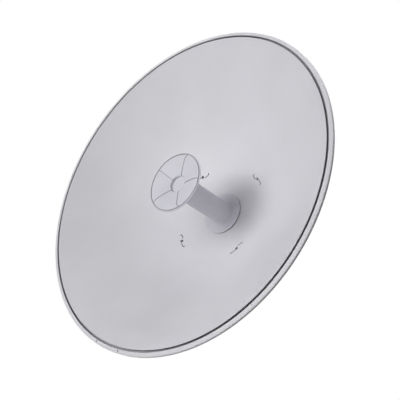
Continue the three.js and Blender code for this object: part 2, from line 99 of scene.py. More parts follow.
class DishSettings(bpy.types.PropertyGroup):
    focal_length: bpy.props.FloatProperty(
        name="Focal length", description="Focal length of the reflector, in mm", default=96.0, min=60.0)
    vertex_depth: bpy.props.FloatProperty(
        name="Bowl depth", description="Rim plane to the bottom of the bowl, in mm", default=107.3)
    sheet: bpy.props.FloatProperty(
        name="Sheet", description="Thickness of the dish's sheet, in mm", default=1.5, min=0.5)
    bowl_radius: bpy.props.FloatProperty(
        name="Bowl radius", description="Where the bowl meets the groove inside the rim, in mm", default=202.4)
    hole_radius: bpy.props.FloatProperty(
        name="Feed hole", description="Radius of the hole for the feed, in mm", default=26.0)
    seat_radius: bpy.props.FloatProperty(
        name="Screw circle", description="Radius of the circle of screw seats, in mm", default=67.15)
    coat: bpy.props.StringProperty(
        name="Coat", description="Powder coat colour, sRGB hex", default="#DCDBE0")
    steps: bpy.props.IntProperty(
        name="Steps", description="Facets round the dish", default=288, min=64)


class FeedSettings(bpy.types.PropertyGroup):
    tube_radius: bpy.props.FloatProperty(
        name="Tube radius", description="Outer radius of the feed tube, in mm", default=14.6)
    flange_depth: bpy.props.FloatProperty(
        name="Flange depth", description="Rim plane to the front of the base flange, in mm", default=103.5)
    groove_depth: bpy.props.FloatProperty(
        name="Groove depth", description="Depth of the cap's radial grooves, in mm", default=1.3)
    groove_width: bpy.props.FloatProperty(
        name="Groove", description="Width of the cap's radial grooves, in mm", default=0.8)
    plastic: bpy.props.StringProperty(
        name="Plastic", description="Moulded plastic colour, sRGB hex", default="#D5D4DC")


class MountSettings(bpy.types.PropertyGroup):
    plate: bpy.props.FloatProperty(
        name="Plate", description="Thickness of both brackets' steel, in mm", default=2.5, min=1.0)
    bend: bpy.props.FloatProperty(
        name="Bend", description="Inside radius of the brackets' bends, in mm", default=1.2, min=0.2)
    lock_radius: bpy.props.FloatProperty(
        name="Lock radius", description="Pivot to the lock bolts, in mm", default=28.0)
    thread_pitch: bpy.props.FloatProperty(
        name="Thread pitch", description="Pitch of the clamp bolts' threads, in mm", default=1.25, min=0.5)


class StageSettings(bpy.types.PropertyGroup):
    key: bpy.props.FloatProperty(name="Key", description="Power of the key light, in watts", default=31.2)
    fill: bpy.props.FloatProperty(
        name="Fill", description="Power of the light from above, in watts", default=29.4)
    ambient: bpy.props.FloatProperty(
        name="Ambient", description="Strength of the room's soft light", default=0.045)
    rear: bpy.props.FloatProperty(
        name="Rear light", description="Strength of the room's light from behind the dish", default=0.6)
    shine: bpy.props.FloatProperty(
        name="Shine", description="Strength of the room as it is mirrored in metal", default=0.25)


# ---- Mesh helpers ------------------------------------------------------------------------------


def filleted(corners, closed=True):
    """Outline points from (a, b) or (a, b, fillet radius) corners, with round stretches as arcs."""
    count = len(corners)
    points = []
    for i, corner in enumerate(corners):
        here = Vector(corner[:2])
        radius = corner[2] if len(corner) > 2 else 0.0
        end = not closed and i in (0, count - 1)
        if not radius or end:
            points.append(tuple(here))
            continue
        to_before = (Vector(corners[i - 1][:2]) - here).normalized()
        to_after = (Vector(corners[(i + 1) % count][:2]) - here).normalized()
        half = to_before.angle(to_after) / 2
        if half > math.radians(89):
            points.append(tuple(here))
            continue
        reach = radius / math.tan(half)
        centre = here + (to_before + to_after).normalized() * (radius / math.sin(half))
        start = here + to_before * reach - centre
        stop = here + to_after * reach - centre
        sweep = start.angle_signed(stop)
        parts = max(2, min(10, math.ceil(abs(sweep) / math.radians(14))))
        for k in range(parts + 1):
            turn = Matrix.Rotation(-sweep * k / parts, 2)
            points.append(tuple(centre + turn @ start))
    return points


def arc(a, b, radius, start, stop, parts):
    """Points of an arc about (a, b), angles in degrees."""
    angles = [math.radians(start + (stop - start) * i / parts) for i in range(parts + 1)]
    return [(a + radius * math.cos(t), b + radius * math.sin(t)) for t in angles]


def settle(bm):
    """Merges doubles, drops slivers and turns the faces outwards."""
    bmesh.ops.remove_doubles(bm, verts=bm.verts, dist=2e-6)
    bmesh.ops.dissolve_degenerate(bm, dist=1e-6, edges=bm.edges)
    bmesh.ops.recalc_face_normals(bm, faces=bm.faces)
    return bm


def turned(profile, steps=96, axis="Y", centre=(0, 0, 0), closed=True):
    """Spins a profile of (radius, place along the axis) points, in mm, into a closed body."""
    bm = bmesh.new()
    middle = Vector(centre) * MM
    turn = {"X": (1, 0, 0), "Y": (0, 1, 0), "Z": (0, 0, 1)}[axis]
    place = {
        "X": lambda r, a: Vector((a, 0, r)),
        "Y": lambda r, a: Vector((r, a, 0)),
        "Z": lambda r, a: Vector((r, 0, a)),
    }[axis]
    verts = [bm.verts.new(place(r, a) * MM + middle) for r, a in profile]
    loop = verts + verts[:1] if closed else verts
    edges = [bm.edges.new(pair) for pair in zip(loop, loop[1:])]
    bmesh.ops.spin(bm, geom=verts + edges, cent=middle, axis=turn, angle=math.tau, steps=steps,
                   use_merge=True, use_duplicate=False)
    return settle(bm)


def prism(outline, start, stop, axis="Y"):
    """Extrudes an outline, in mm, from start to stop along an axis."""
    bm = bmesh.new()
    place = {
        "X": lambda a, b: (start, a, b),
        "Y": lambda a, b: (a, start, b),
        "Z": lambda a, b: (a, b, start),
    }[axis]
    verts = [bm.verts.new(Vector(place(a, b)) * MM) for a, b in outline]
    edges = [bm.edges.new(pair) for pair in zip(verts, verts[1:] + verts[:1])]
    face = bmesh.ops.edgenet_fill(bm, edges=edges)["faces"]
    grown = bmesh.ops.extrude_face_region(bm, geom=face)["geom"]
    way = Vector([stop - start if name == axis else 0 for name in "XYZ"]) * MM
    bmesh.ops.translate(bm, vec=way, verts=[v for v in grown if isinstance(v, bmesh.types.BMVert)])
    return settle(bm)


def block(low, high):
    """A box between two corners, in mm."""
    bm = bmesh.new()
    low, high = Vector(low) * MM, Vector(high) * MM
    size = high - low
    place = Matrix.Translation((low + high) / 2) @ Matrix.Diagonal((*size, 1))
    bmesh.ops.create_cube(bm, size=1, matrix=place)
    return bm


def drill(radius, start, stop, a=0.0, b=0.0, axis="Y", sides=32):
    """A round cutter or rod between two places along an axis, in mm."""
    ring = arc(a, b, radius, 0, 360 - 360 / sides, sides - 1)
    return prism(ring, start, stop, axis)


def at(axis, a, b):
    """A point of the line along an axis through (a, b), in mm."""
    return {"X": (0, a, b), "Y": (a, 0, b), "Z": (a, b, 0)}[axis]


def hexagon(a, b, across):
    """Outline of a hexagon from its width across the flats."""
    return arc(a, b, across / math.sqrt(3), 0, 300, 5)


def hex_block(axis, a, b, across, start, stop):
    """A hexagon whose corners are chamfered round at both ends."""
    corner = across / math.sqrt(3)
    flat = across * 0.48
    drop = math.copysign((corner - flat) * 0.58, stop - start)
    cone = [(0, start), (flat, start), (corner, start + drop), (corner, stop - drop), (flat, stop), (0, stop)]
    return carved(prism(hexagon(a, b, across), start, stop, axis),
                  inside=[turned(cone, 48, axis, at(axis, a, b), closed=False)])


def thread(radius, start, stop, pitch):
    """Profile of a threaded stretch with a pointed end, drawn as closely spaced rings."""
    way = math.copysign(pitch, stop - start)
    count = int(abs(stop - start) / pitch)
    root = radius - 0.54 * pitch
    rings = [[(root, start + way * i), (radius, start + way * (i + 0.5))] for i in range(count)]
    points = [point for ring in rings for point in ring]
    return points + [(root, start + way * count), (root - 0.5, stop), (0, stop)]


def soften(bm, width, segments=2, angle=30):
    """Bevels every edge sharper than the angle, in mm and degrees."""
    limit = math.radians(angle)
    sharp = [e for e in bm.edges if len(e.link_faces) == 2 and e.calc_face_angle(0) > limit]
    bmesh.ops.bevel(bm, geom=sharp, offset=width * MM, segments=segments, affect="EDGES", profile=0.5,
                    material=-1, clamp_overlap=True)
    return bm


def merged(*parts):
    """One bmesh holding every part."""
    whole = parts[0]
    for part in parts[1:]:
        spare = bpy.data.meshes.new("spare")
        part.to_mesh(spare)
        part.free()
        whole.from_mesh(spare)
        bpy.data.meshes.remove(spare)
    return whole


def moved(bm, matrix):
    """Applies a matrix in metres to a whole bmesh."""
    bmesh.ops.transform(bm, matrix=matrix, verts=bm.verts)
    return bm


def as_object(bm, name):
    """A linked object, at the origin, from a bmesh that is used up."""
    mesh = bpy.data.meshes.new(name)
    bm.to_mesh(mesh)
    bm.free()
    thing = bpy.data.objects.new(name, mesh)
    bpy.context.scene.collection.objects.link(thing)
    return thing


def seats(radius):
    """Places (x, z) of the four screw seats."""
    return [(radius * math.cos(math.radians(a)), radius * math.sin(math.radians(a))) for a in SEAT_ANGLES]


def carved(bm, *cutters, union=(), inside=()):
    """The body kept within each inside part, with each union part added and each cutter taken away."""
    body = as_object(bm, "carving")
    tools = [(tool, "INTERSECT") for tool in inside] + [(tool, "UNION") for tool in union]
    tools += [(tool, "DIFFERENCE") for tool in cutters]
    spare = []
    for tool, operation in tools:
        helper = as_object(tool, "tool")
        change = body.modifiers.new(operation, "BOOLEAN")
        change.operation = operation
        change.solver = "EXACT"
        change.object = helper
        spare.append(helper)
    bpy.context.view_layer.update()
    shaped = body.evaluated_get(bpy.context.evaluated_depsgraph_get())
    result = bmesh.new()
    result.from_mesh(shaped.to_mesh())
    shaped.to_mesh_clear()
    for thing in [body, *spare]:
        mesh = thing.data
        bpy.data.objects.remove(thing)
        bpy.data.meshes.remove(mesh)
    return result


def piece(bm, name, finish, body, node=None, sharp=32, bevel=0.0):
    """Makes the finished piece: smooth faces, a finish, its body and the node it stands for."""
    for face in bm.faces:
        face.smooth = True
    thing = as_object(bm, name)
    thing.data.set_sharp_from_angle(angle=math.radians(sharp))
    thing.data.materials.append(finish)
    if bevel:
        edge = thing.modifiers.new("edge", "BEVEL")
        edge.width = bevel * MM
        edge.segments = 2
        edge.limit_method = "ANGLE"
        edge.angle_limit = math.radians(40)
        edge.harden_normals = True
    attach(thing, body)
    if node:
        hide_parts(node)
    return thing


# ---- Materials ---------------------------------------------------------------------------------


def linear(code):
    """Linear colour, with alpha, from an sRGB hex code."""
    parts = [int(code.lstrip("#")[i:i + 2], 16) / 255 for i in (0, 2, 4)]
    return (*[p / 12.92 if p <= 0.04045 else ((p + 0.055) / 1.055) ** 2.4 for p in parts], 1.0)


def add(tree, kind, inputs=None, **settings):
    """Adds a node, sets its properties, and sets or links each of its inputs."""
    node = tree.nodes.new(kind)
    for key, value in settings.items():
        setattr(node, key, value)
    for key, value in (inputs or {}).items():
        if isinstance(value, bpy.types.NodeSocket):
            tree.links.new(value, node.inputs[key])
        else:
            node.inputs[key].default_value = value
    return node


def blank(name):
    """A new material with only its output, and its tree and object coordinates in metres."""
    finish = bpy.data.materials.new(name)
    finish.use_nodes = True
    tree = finish.node_tree
    tree.nodes.clear()
    place = add(tree, "ShaderNodeTexCoord").outputs["Object"]
    return finish, tree, place


def close(tree, shader):
    add(tree, "ShaderNodeOutputMaterial", {"Surface": shader})


def noise(tree, place, size_mm, detail=3.0, roughness=0.5):
    """Noise whose features are about size_mm across."""
    return add(tree, "ShaderNodeTexNoise",
               {"Vector": place, "Scale": 1 / (size_mm * MM), "Detail": detail, "Roughness": roughness})


def edge_wear(tree, reach=0.5):
    """How much an edge is rubbed, within reach mm of it: from 0 on a face to 1 on a sharp corner."""
    rounded = add(tree, "ShaderNodeBevel", {"Radius": reach * MM}, samples=4).outputs["Normal"]
    plain = add(tree, "ShaderNodeNewGeometry").outputs["Normal"]
    match = add(tree, "ShaderNodeVectorMath", {0: rounded, 1: plain}, operation="DOT_PRODUCT")
    return add(tree, "ShaderNodeMapRange", {
        "Value": match.outputs["Value"], "From Min": 0.97, "From Max": 0.75}).outputs["Result"]


def painted_groove_shade(tree, reach=4.0):
    """How much painted shade a groove gets, from ambient occlusion: 0 on an open face, 1 where walls within reach mm
    hide it.
    """
    open_sky = add(tree, "ShaderNodeAmbientOcclusion", {"Distance": reach * MM}, samples=6, only_local=True)
    return add(tree, "ShaderNodeMapRange", {
        "Value": open_sky.outputs["AO"], "From Min": 0.7, "From Max": 0.3}).outputs["Result"]


FINISHES = {}


def shared(maker, *values):
    """The finish that a maker gives, made once."""
    key = "|".join([maker.__name__, *map(str, values)])
    if key not in FINISHES:
        FINISHES[key] = maker(*values)
    return FINISHES[key]


def powder_coat(code):
    """Satin polyester powder coat on pressed sheet: even colour, a fine orange-peel skin that breaks up
    its highlights, faint cloudy tone from the uneven film, film pulled thin and pale at the edges, and
    painted shade that darkens its grooves and inside corners."""
    finish, tree, place = blank("powder_coated_sheet")
    cloud = noise(tree, place, 55, 2.0)
    speck = noise(tree, place, 0.9, 2.0)
    film = add(tree, "ShaderNodeMapRange", {
        "Value": speck.outputs["Fac"], "From Min": 0.62, "From Max": 0.8, "To Min": 0.0, "To Max": 0.25})
    base = add(tree, "ShaderNodeMix", {
        "Factor": film.outputs["Result"], "A": linear(code), "B": linear("#BDBCC1")}, data_type="RGBA")
    thin = add(tree, "ShaderNodeMix", {
        "Factor": edge_wear(tree), "A": base.outputs["Result"], "B": linear("#D9D8DD")},
        data_type="RGBA")
    # Painted shade: grooves and inside corners are darkened towards #4C4B50 wherever ambient occlusion finds walls
    # close by.
    shaded_grooves = add(tree, "ShaderNodeMix", {
        "Factor": painted_groove_shade(tree), "A": thin.outputs["Result"], "B": linear("#4C4B50")}, data_type="RGBA")
    tone = add(tree, "ShaderNodeMapRange", {
        "Value": cloud.outputs["Fac"], "From Min": 0.35, "From Max": 0.65, "To Min": 0.985, "To Max": 1.015})
    shade = add(tree, "ShaderNodeVectorMath", {0: shaded_grooves.outputs["Result"], "Scale": tone.outputs["Result"]},
                operation="SCALE")
    peel = noise(tree, place, 1.6, 2.0, 0.4)
    bump = add(tree, "ShaderNodeBump", {
        "Height": peel.outputs["Fac"], "Strength": 0.12, "Distance": 0.04 * MM})
    rough = add(tree, "ShaderNodeMapRange", {
        "Value": cloud.outputs["Fac"], "From Min": 0.3, "From Max": 0.7, "To Min": 0.42, "To Max": 0.52})
    shader = add(tree, "ShaderNodeBsdfPrincipled", {
        "Base Color": shade.outputs["Vector"], "Roughness": rough.outputs["Result"],
        "Normal": bump.outputs["Normal"], "IOR": 1.5})
    close(tree, shader.outputs["BSDF"])
    return finish


def moulded_plastic(code, name="moulded_plastic"):
    """Injection-moulded ABS from an eroded tool: matt, with a fine spark grain, very soft mottling, and
    edges rubbed a little smoother and paler by handling, with painted shade darkening narrow grooves."""
    finish, tree, place = blank(name)
    grain = noise(tree, place, 0.7, 3.0, 0.6)
    mottle = noise(tree, place, 22, 2.0)
    rubbed = edge_wear(tree)
    pale = [min(1.0, part * 1.12) for part in linear(code)[:3]] + [1.0]
    clean = add(tree, "ShaderNodeMix", {"Factor": rubbed, "A": linear(code), "B": pale}, data_type="RGBA")
    # Painted shade: the plastic darkened to 0.42 of its colour, laid into grooves and inside corners by ambient
    # occlusion.
    groove_shade_colour = [part * 0.42 for part in linear(code)[:3]] + [1.0]
    base = add(tree, "ShaderNodeMix", {
        "Factor": painted_groove_shade(tree), "A": clean.outputs["Result"], "B": groove_shade_colour}, data_type="RGBA")
    tone = add(tree, "ShaderNodeMapRange", {
        "Value": mottle.outputs["Fac"], "From Min": 0.35, "From Max": 0.65, "To Min": 0.975, "To Max": 1.02})
    shade = add(tree, "ShaderNodeVectorMath", {0: base.outputs["Result"], "Scale": tone.outputs["Result"]},
                operation="SCALE")
    bump = add(tree, "ShaderNodeBump", {
        "Height": grain.outputs["Fac"], "Strength": 0.18, "Distance": 0.03 * MM})
    matt = add(tree, "ShaderNodeMapRange", {"Value": grain.outputs["Fac"], "To Min": 0.48, "To Max": 0.62})
    rough = add(tree, "ShaderNodeMath", {0: rubbed, 1: -0.12, 2: matt.outputs["Result"]},
                operation="MULTIPLY_ADD")
    shader = add(tree, "ShaderNodeBsdfPrincipled", {
        "Base Color": shade.outputs["Vector"], "Roughness": rough.outputs["Value"],
        "Normal": bump.outputs["Normal"], "IOR": 1.53})
    close(tree, shader.outputs["BSDF"])
    return finish


def galvanised_steel():
    """Hot-dip galvanised plate: crystal spangle in patches of slightly different grey and gloss, dull
    stains from the weather, and bright rubbed edges."""
    finish, tree, place = blank("galvanised_steel")
    crystals = add(tree, "ShaderNodeTexVoronoi", {
        "Vector": place, "Scale": 1 / (4.5 * MM), "Randomness": 1.0})
    grey = add(tree, "ShaderNodeSeparateColor", {"Color": crystals.outputs["Color"]})
    stain = noise(tree, place, 14, 4.0)
    mix = add(tree, "ShaderNodeMix", {
        "Factor": grey.outputs["Red"], "A": linear("#9A9FA3"), "B": linear("#B4B8BB")}, data_type="RGBA")
    dull = add(tree, "ShaderNodeMapRange", {
        "Value": stain.outputs["Fac"], "From Min": 0.5, "From Max": 0.75, "To Min": 0.0, "To Max": 0.4})
    worn = add(tree, "ShaderNodeMix", {
        "Factor": dull.outputs["Result"], "A": mix.outputs["Result"], "B": linear("#84878A")},
        data_type="RGBA")
    bare = add(tree, "ShaderNodeMix", {
        "Factor": edge_wear(tree), "A": worn.outputs["Result"], "B": linear("#CDD0D2")}, data_type="RGBA")
    rough = add(tree, "ShaderNodeMapRange", {"Value": grey.outputs["Green"], "To Min": 0.32, "To Max": 0.52})
    bump = add(tree, "ShaderNodeBump", {
        "Height": stain.outputs["Fac"], "Strength": 0.15, "Distance": 0.05 * MM})
    shader = add(tree, "ShaderNodeBsdfPrincipled", {
        "Base Color": bare.outputs["Result"], "Roughness": rough.outputs["Result"], "Metallic": 1.0,
        "Normal": bump.outputs["Normal"]})
    close(tree, shader.outputs["BSDF"])
    return finish


def plated_metal(code, name, low=0.2, high=0.36):
    """Plated or bare metal small parts: soft tumbled haze with fine scratches left by tools."""
    finish, tree, place = blank(name)
    haze = noise(tree, place, 3.0, 4.0, 0.6)
    marks = add(tree, "ShaderNodeMapping", {"Vector": place, "Scale": (1, 1, 9)})
    scratch = noise(tree, marks.outputs["Vector"], 1.1, 2.0)
    tone = add(tree, "ShaderNodeMapRange", {"Value": haze.outputs["Fac"], "To Min": 0.9, "To Max": 1.04})
    shade = add(tree, "ShaderNodeVectorMath", {0: linear(code)[:3], "Scale": tone.outputs["Result"]},
                operation="SCALE")
    rough = add(tree, "ShaderNodeMapRange", {"Value": haze.outputs["Fac"], "To Min": low, "To Max": high})
    bump = add(tree, "ShaderNodeBump", {
        "Height": scratch.outputs["Fac"], "Strength": 0.1, "Distance": 0.02 * MM})
    shader = add(tree, "ShaderNodeBsdfPrincipled", {
        "Base Color": shade.outputs["Vector"], "Roughness": rough.outputs["Result"], "Metallic": 1.0,
        "Normal": bump.outputs["Normal"]})
    close(tree, shader.outputs["BSDF"])
    return finish


def black_rubber():
    """Moulded EPDM rubber: near black, matt, with a chalky bloom in places."""
    finish, tree, place = blank("moulded_rubber")
    bloom = noise(tree, place, 5, 4.0)
    fade = add(tree, "ShaderNodeMapRange", {
        "Value": bloom.outputs["Fac"], "From Min": 0.45, "From Max": 0.75, "To Min": 0.0, "To Max": 0.5})
    base = add(tree, "ShaderNodeMix", {
        "Factor": fade.outputs["Result"], "A": linear("#1D1E20"), "B": linear("#3A3B3D")}, data_type="RGBA")
    rough = add(tree, "ShaderNodeMapRange", {"Value": bloom.outputs["Fac"], "To Min": 0.68, "To Max": 0.88})
    bump = add(tree, "ShaderNodeBump", {
        "Height": noise(tree, place, 0.6).outputs["Fac"], "Strength": 0.2, "Distance": 0.03 * MM})
    shader = add(tree, "ShaderNodeBsdfPrincipled", {
        "Base Color": base.outputs["Result"], "Roughness": rough.outputs["Result"],
        "Normal": bump.outputs["Normal"]})
    close(tree, shader.outputs["BSDF"])
    return finish


def circuit_board():
    """Glass laminate under green solder mask: tracks show through lighter, and stand up a little."""
    finish, tree, place = blank("circuit_board")
    turned_flat = add(tree, "ShaderNodeMapping", {"Vector": place, "Rotation": (0, math.radians(90), 0)})
    tracks = add(tree, "ShaderNodeTexBrick", {
        "Vector": turned_flat.outputs["Vector"], "Scale": 1 / (9 * MM), "Mortar Size": 0.03,
        "Color1": linear("#1C5A36"), "Color2": linear("#1F6340"), "Mortar": linear("#3E8A5C")})
    weave = noise(tree, place, 0.5)
    rough = add(tree, "ShaderNodeMapRange", {"Value": weave.outputs["Fac"], "To Min": 0.25, "To Max": 0.4})
    bump = add(tree, "ShaderNodeBump", {
        "Height": tracks.outputs["Fac"], "Strength": 0.3, "Distance": 0.03 * MM})
    shader = add(tree, "ShaderNodeBsdfPrincipled", {
        "Base Color": tracks.outputs["Color"], "Roughness": rough.outputs["Result"],
        "Normal": bump.outputs["Normal"]})
    close(tree, shader.outputs["BSDF"])
    return finish


def clear_moulding(code, name):
    """Clear moulded polycarbonate or tinted fluid: glossy, slightly cloudy inside."""
    finish, tree, place = blank(name)
    cloud = noise(tree, place, 2.5)
    rough = add(tree, "ShaderNodeMapRange", {"Value": cloud.outputs["Fac"], "To Min": 0.05, "To Max": 0.15})
    shader = add(tree, "ShaderNodeBsdfPrincipled", {
        "Base Color": linear(code), "Roughness": rough.outputs["Result"], "IOR": 1.58,
        "Transmission Weight": 0.7})
    close(tree, shader.outputs["BSDF"])
    return finish


# ---- Stage -------------------------------------------------------------------------------------


class DISH_OT_stage(bpy.types.Operator):
    """Make the camera, the floor and the soft studio light"""

    bl_idname = "dish.stage"
    bl_label = "Stage"

    def execute(self, context):
        settings = context.scene.dish_stage
        self.camera(context)
        self.world(context, settings)
        self.floor(context)
        self.light(context, "key", (-0.32, -0.93, -0.19), settings.key)
        self.light(context, "front", (0.0, -1.0, 0.0), 0.375 * settings.key)
        self.light(context, "low", (0.0, -0.93, -0.37), 0.465 * settings.key)
        self.light(context, "top", (0.0, 0.09, 1.0), settings.fill)
        self.light(context, "high", (0.0, -0.37, 0.93), 0.125 * settings.fill)
        self.light(context, "right", (0.4, -0.92, 0.0), 0.14 * settings.fill)
        self.light(context, "behind", (-0.36, 0.90, 0.26), 0.9 * settings.fill)
        context.scene.view_settings.view_transform = "Standard"
        return {"FINISHED"}

    def camera(self, context):
        """Low in front and to the right, looking up into the bowl, with the horizon tipped."""
        centre = Vector((0, RIM_Y, 0)) * MM
        place = Vector((0.4967, -0.4520, -0.1942))
        across = Vector((0.7363, 0.6059, 0.3011))
        up = Vector((-0.0492, -0.3959, 0.9170))
        lens = bpy.data.cameras.new("camera")
        lens.lens = 52.1
        lens.sensor_width = 36
        lens.clip_start = 0.01
        eye = bpy.data.objects.new("camera", lens)
        back = across.cross(up)
        turn = Matrix((across, up, back)).transposed()
        eye.matrix_world = Matrix.Translation(centre + place) @ turn.to_4x4()
        context.scene.collection.objects.link(eye)
        context.scene.camera = eye

    def world(self, context, settings):
        """White to the eye, weak from all round, stronger from behind, and brighter in mirrored metal."""
        room = bpy.data.worlds.new("room")
        room.use_nodes = True
        tree = room.node_tree
        tree.nodes.clear()
        way = add(tree, "ShaderNodeVectorMath", {
            0: add(tree, "ShaderNodeTexCoord").outputs["Generated"], 1: Vector((-0.55, 0.7, 0.45)).normalized(),
        }, operation="DOT_PRODUCT").outputs["Value"]
        rear = add(tree, "ShaderNodeMath", {0: way, 1: 0.0}, operation="MAXIMUM").outputs["Value"]
        glow = add(tree, "ShaderNodeMath", {0: rear, 1: 3.0}, operation="POWER").outputs["Value"]
        soft = add(tree, "ShaderNodeMath", {0: glow, 1: settings.rear, 2: settings.ambient},
                   operation="MULTIPLY_ADD").outputs["Value"]
        path = add(tree, "ShaderNodeLightPath").outputs
        bright = add(tree, "ShaderNodeMath", {0: path["Is Glossy Ray"], 1: settings.shine, 2: soft},
                     operation="MULTIPLY_ADD").outputs["Value"]
        lit = add(tree, "ShaderNodeBackground", {"Color": (1, 1, 1, 1), "Strength": bright})
        white = add(tree, "ShaderNodeBackground", {"Color": (1, 1, 1, 1), "Strength": 1.0})
        both = add(tree, "ShaderNodeMixShader", {
            0: path["Is Camera Ray"], 1: lit.outputs[0], 2: white.outputs[0]})
        add(tree, "ShaderNodeOutputWorld", {"Surface": both.outputs[0]})
        context.scene.world = room

    def floor(self, context):
        """A plain white floor well below the mast clamp."""
        bm = bmesh.new()
        bmesh.ops.create_grid(bm, x_segments=1, y_segments=1, size=4,
                              matrix=Matrix.Translation((0, 0, DISH_LOW.z * MM - 0.3)))
        ground = as_object(bm, "floor")
        finish, tree, place = blank("floor_paint")
        seen = add(tree, "ShaderNodeLightPath").outputs["Is Camera Ray"]
        glow = add(tree, "ShaderNodeEmission", {"Color": (1, 1, 1, 1), "Strength": seen})
        paint = add(tree, "ShaderNodeBsdfDiffuse", {"Color": (0.42, 0.42, 0.42, 1)})
        close(tree, add(tree, "ShaderNodeAddShader", {0: glow.outputs[0], 1: paint.outputs[0]}).outputs[0])
        ground.data.materials.append(finish)

    def light(self, context, name, way, power):
        """A soft disk of light 2.2 m from the rim's centre."""
        lamp = bpy.data.lights.new(name, "AREA")
        lamp.shape = "DISK"
        lamp.size = 1.3
        lamp.energy = power
        thing = bpy.data.objects.new(name, lamp)
        way = Vector(way).normalized()
        place = Vector((0, RIM_Y * MM, 0)) + way * 2.2
        thing.matrix_world = Matrix.Translation(place) @ (-way).to_track_quat("-Z", "Y").to_matrix().to_4x4()
        context.scene.collection.objects.link(thing)


# ---- Dish --------------------------------------------------------------------------------------


def bowl_depth(radius, settings, thickness=0.0):
    """Depth behind the rim plane of the bowl, or of its back with the sheet's thickness."""
    slope = radius / (2 * settings.focal_length)
    return settings.vertex_depth - radius * slope / 2 + thickness * math.hypot(1, slope)


class DISH_OT_reflector(bpy.types.Operator):
    """Make the pressed reflector with its rolled rim, screw seats and drain holes"""

    bl_idname = "dish.reflector"
    bl_label = "Reflector"

    def execute(self, context):
        settings = context.scene.dish_settings
        body = turned([(r, RIM_Y + d) for r, d in self.profile(settings)], settings.steps)
        cutters = [cut for angle in SEAT_ANGLES for cut in self.seat(angle, settings)]
        for angle in (-88.35, -99.12):
            turn = math.radians(angle)
            x, z = 207 * math.cos(turn), 207 * math.sin(turn)
            cutters.append(drill(0.9, RIM_Y - 1, RIM_Y + 6, x, z, sides=16))
        body = carved(body, *cutters)
        piece(body, "reflector", shared(powder_coat, settings.coat), "antenna", "dish_reflector")
        return {"FINISHED"}

    def profile(self, settings):
        """Section of the sheet: bowl, groove, flat rim, side wall, hem and the back again."""
        bands = 56
        span = settings.bowl_radius - settings.hole_radius
        radii = [settings.hole_radius + span * i / bands for i in range(bands + 1)]
        front = [(r, bowl_depth(r, settings)) for r in radii]
        back = [(r, bowl_depth(r, settings, settings.sheet)) for r in reversed(radii[:-1])]
        wall = RIM_R - settings.sheet
        rim = filleted([
            (202.5, 0.6), (202.5, 4.0, 0.4), (205.1, 4.0, 0.4), (205.1, 0.1, 0.7), (206.5, 0, 3),
            (RIM_R, 1.0, 1.2), (RIM_R, 4.5, 1.0), (206.9, 4.5, 0.5), (206.9, 3.3, 0.3), (wall, 3.3, 0.3), (wall, 1.5, 0.3),
            (206.2, 1.5, 0.3), (206.2, 5.2, 1.0), (201.4, 5.2, 0.8)], closed=False)
        return front + rim + back

    def seat(self, angle, settings):
        """A small hole between two hooked slits, which free a bridge of the sheet."""
        depth = RIM_Y + bowl_depth(settings.seat_radius, settings)
        near, far = depth - 12, depth + 12
        inner = -1 if math.cos(math.radians(angle)) > 0 else 1
        shapes = [drill(2.0, near, far, sides=20)]
        for side, drop, hook in ((inner, -3.0, 2.6), (-inner, 1.2, -2.6)):
            low, high = sorted((side * 2.6, side * 10))
            bottom, top = sorted((drop, drop + hook))
            shapes.append(block((low, near, drop - 0.5), (high, far, drop + 0.5)))
            shapes.append(block((side * 10 - 0.5, near, bottom), (side * 10 + 0.5, far, top)))
        place = Matrix.Rotation(math.radians(90 - angle), 4, "Y") @ Matrix.Translation(
            (0, 0, settings.seat_radius * MM))
        return [moved(shape, place) for shape in shapes]


# ---- Feed --------------------------------------------------------------------------------------


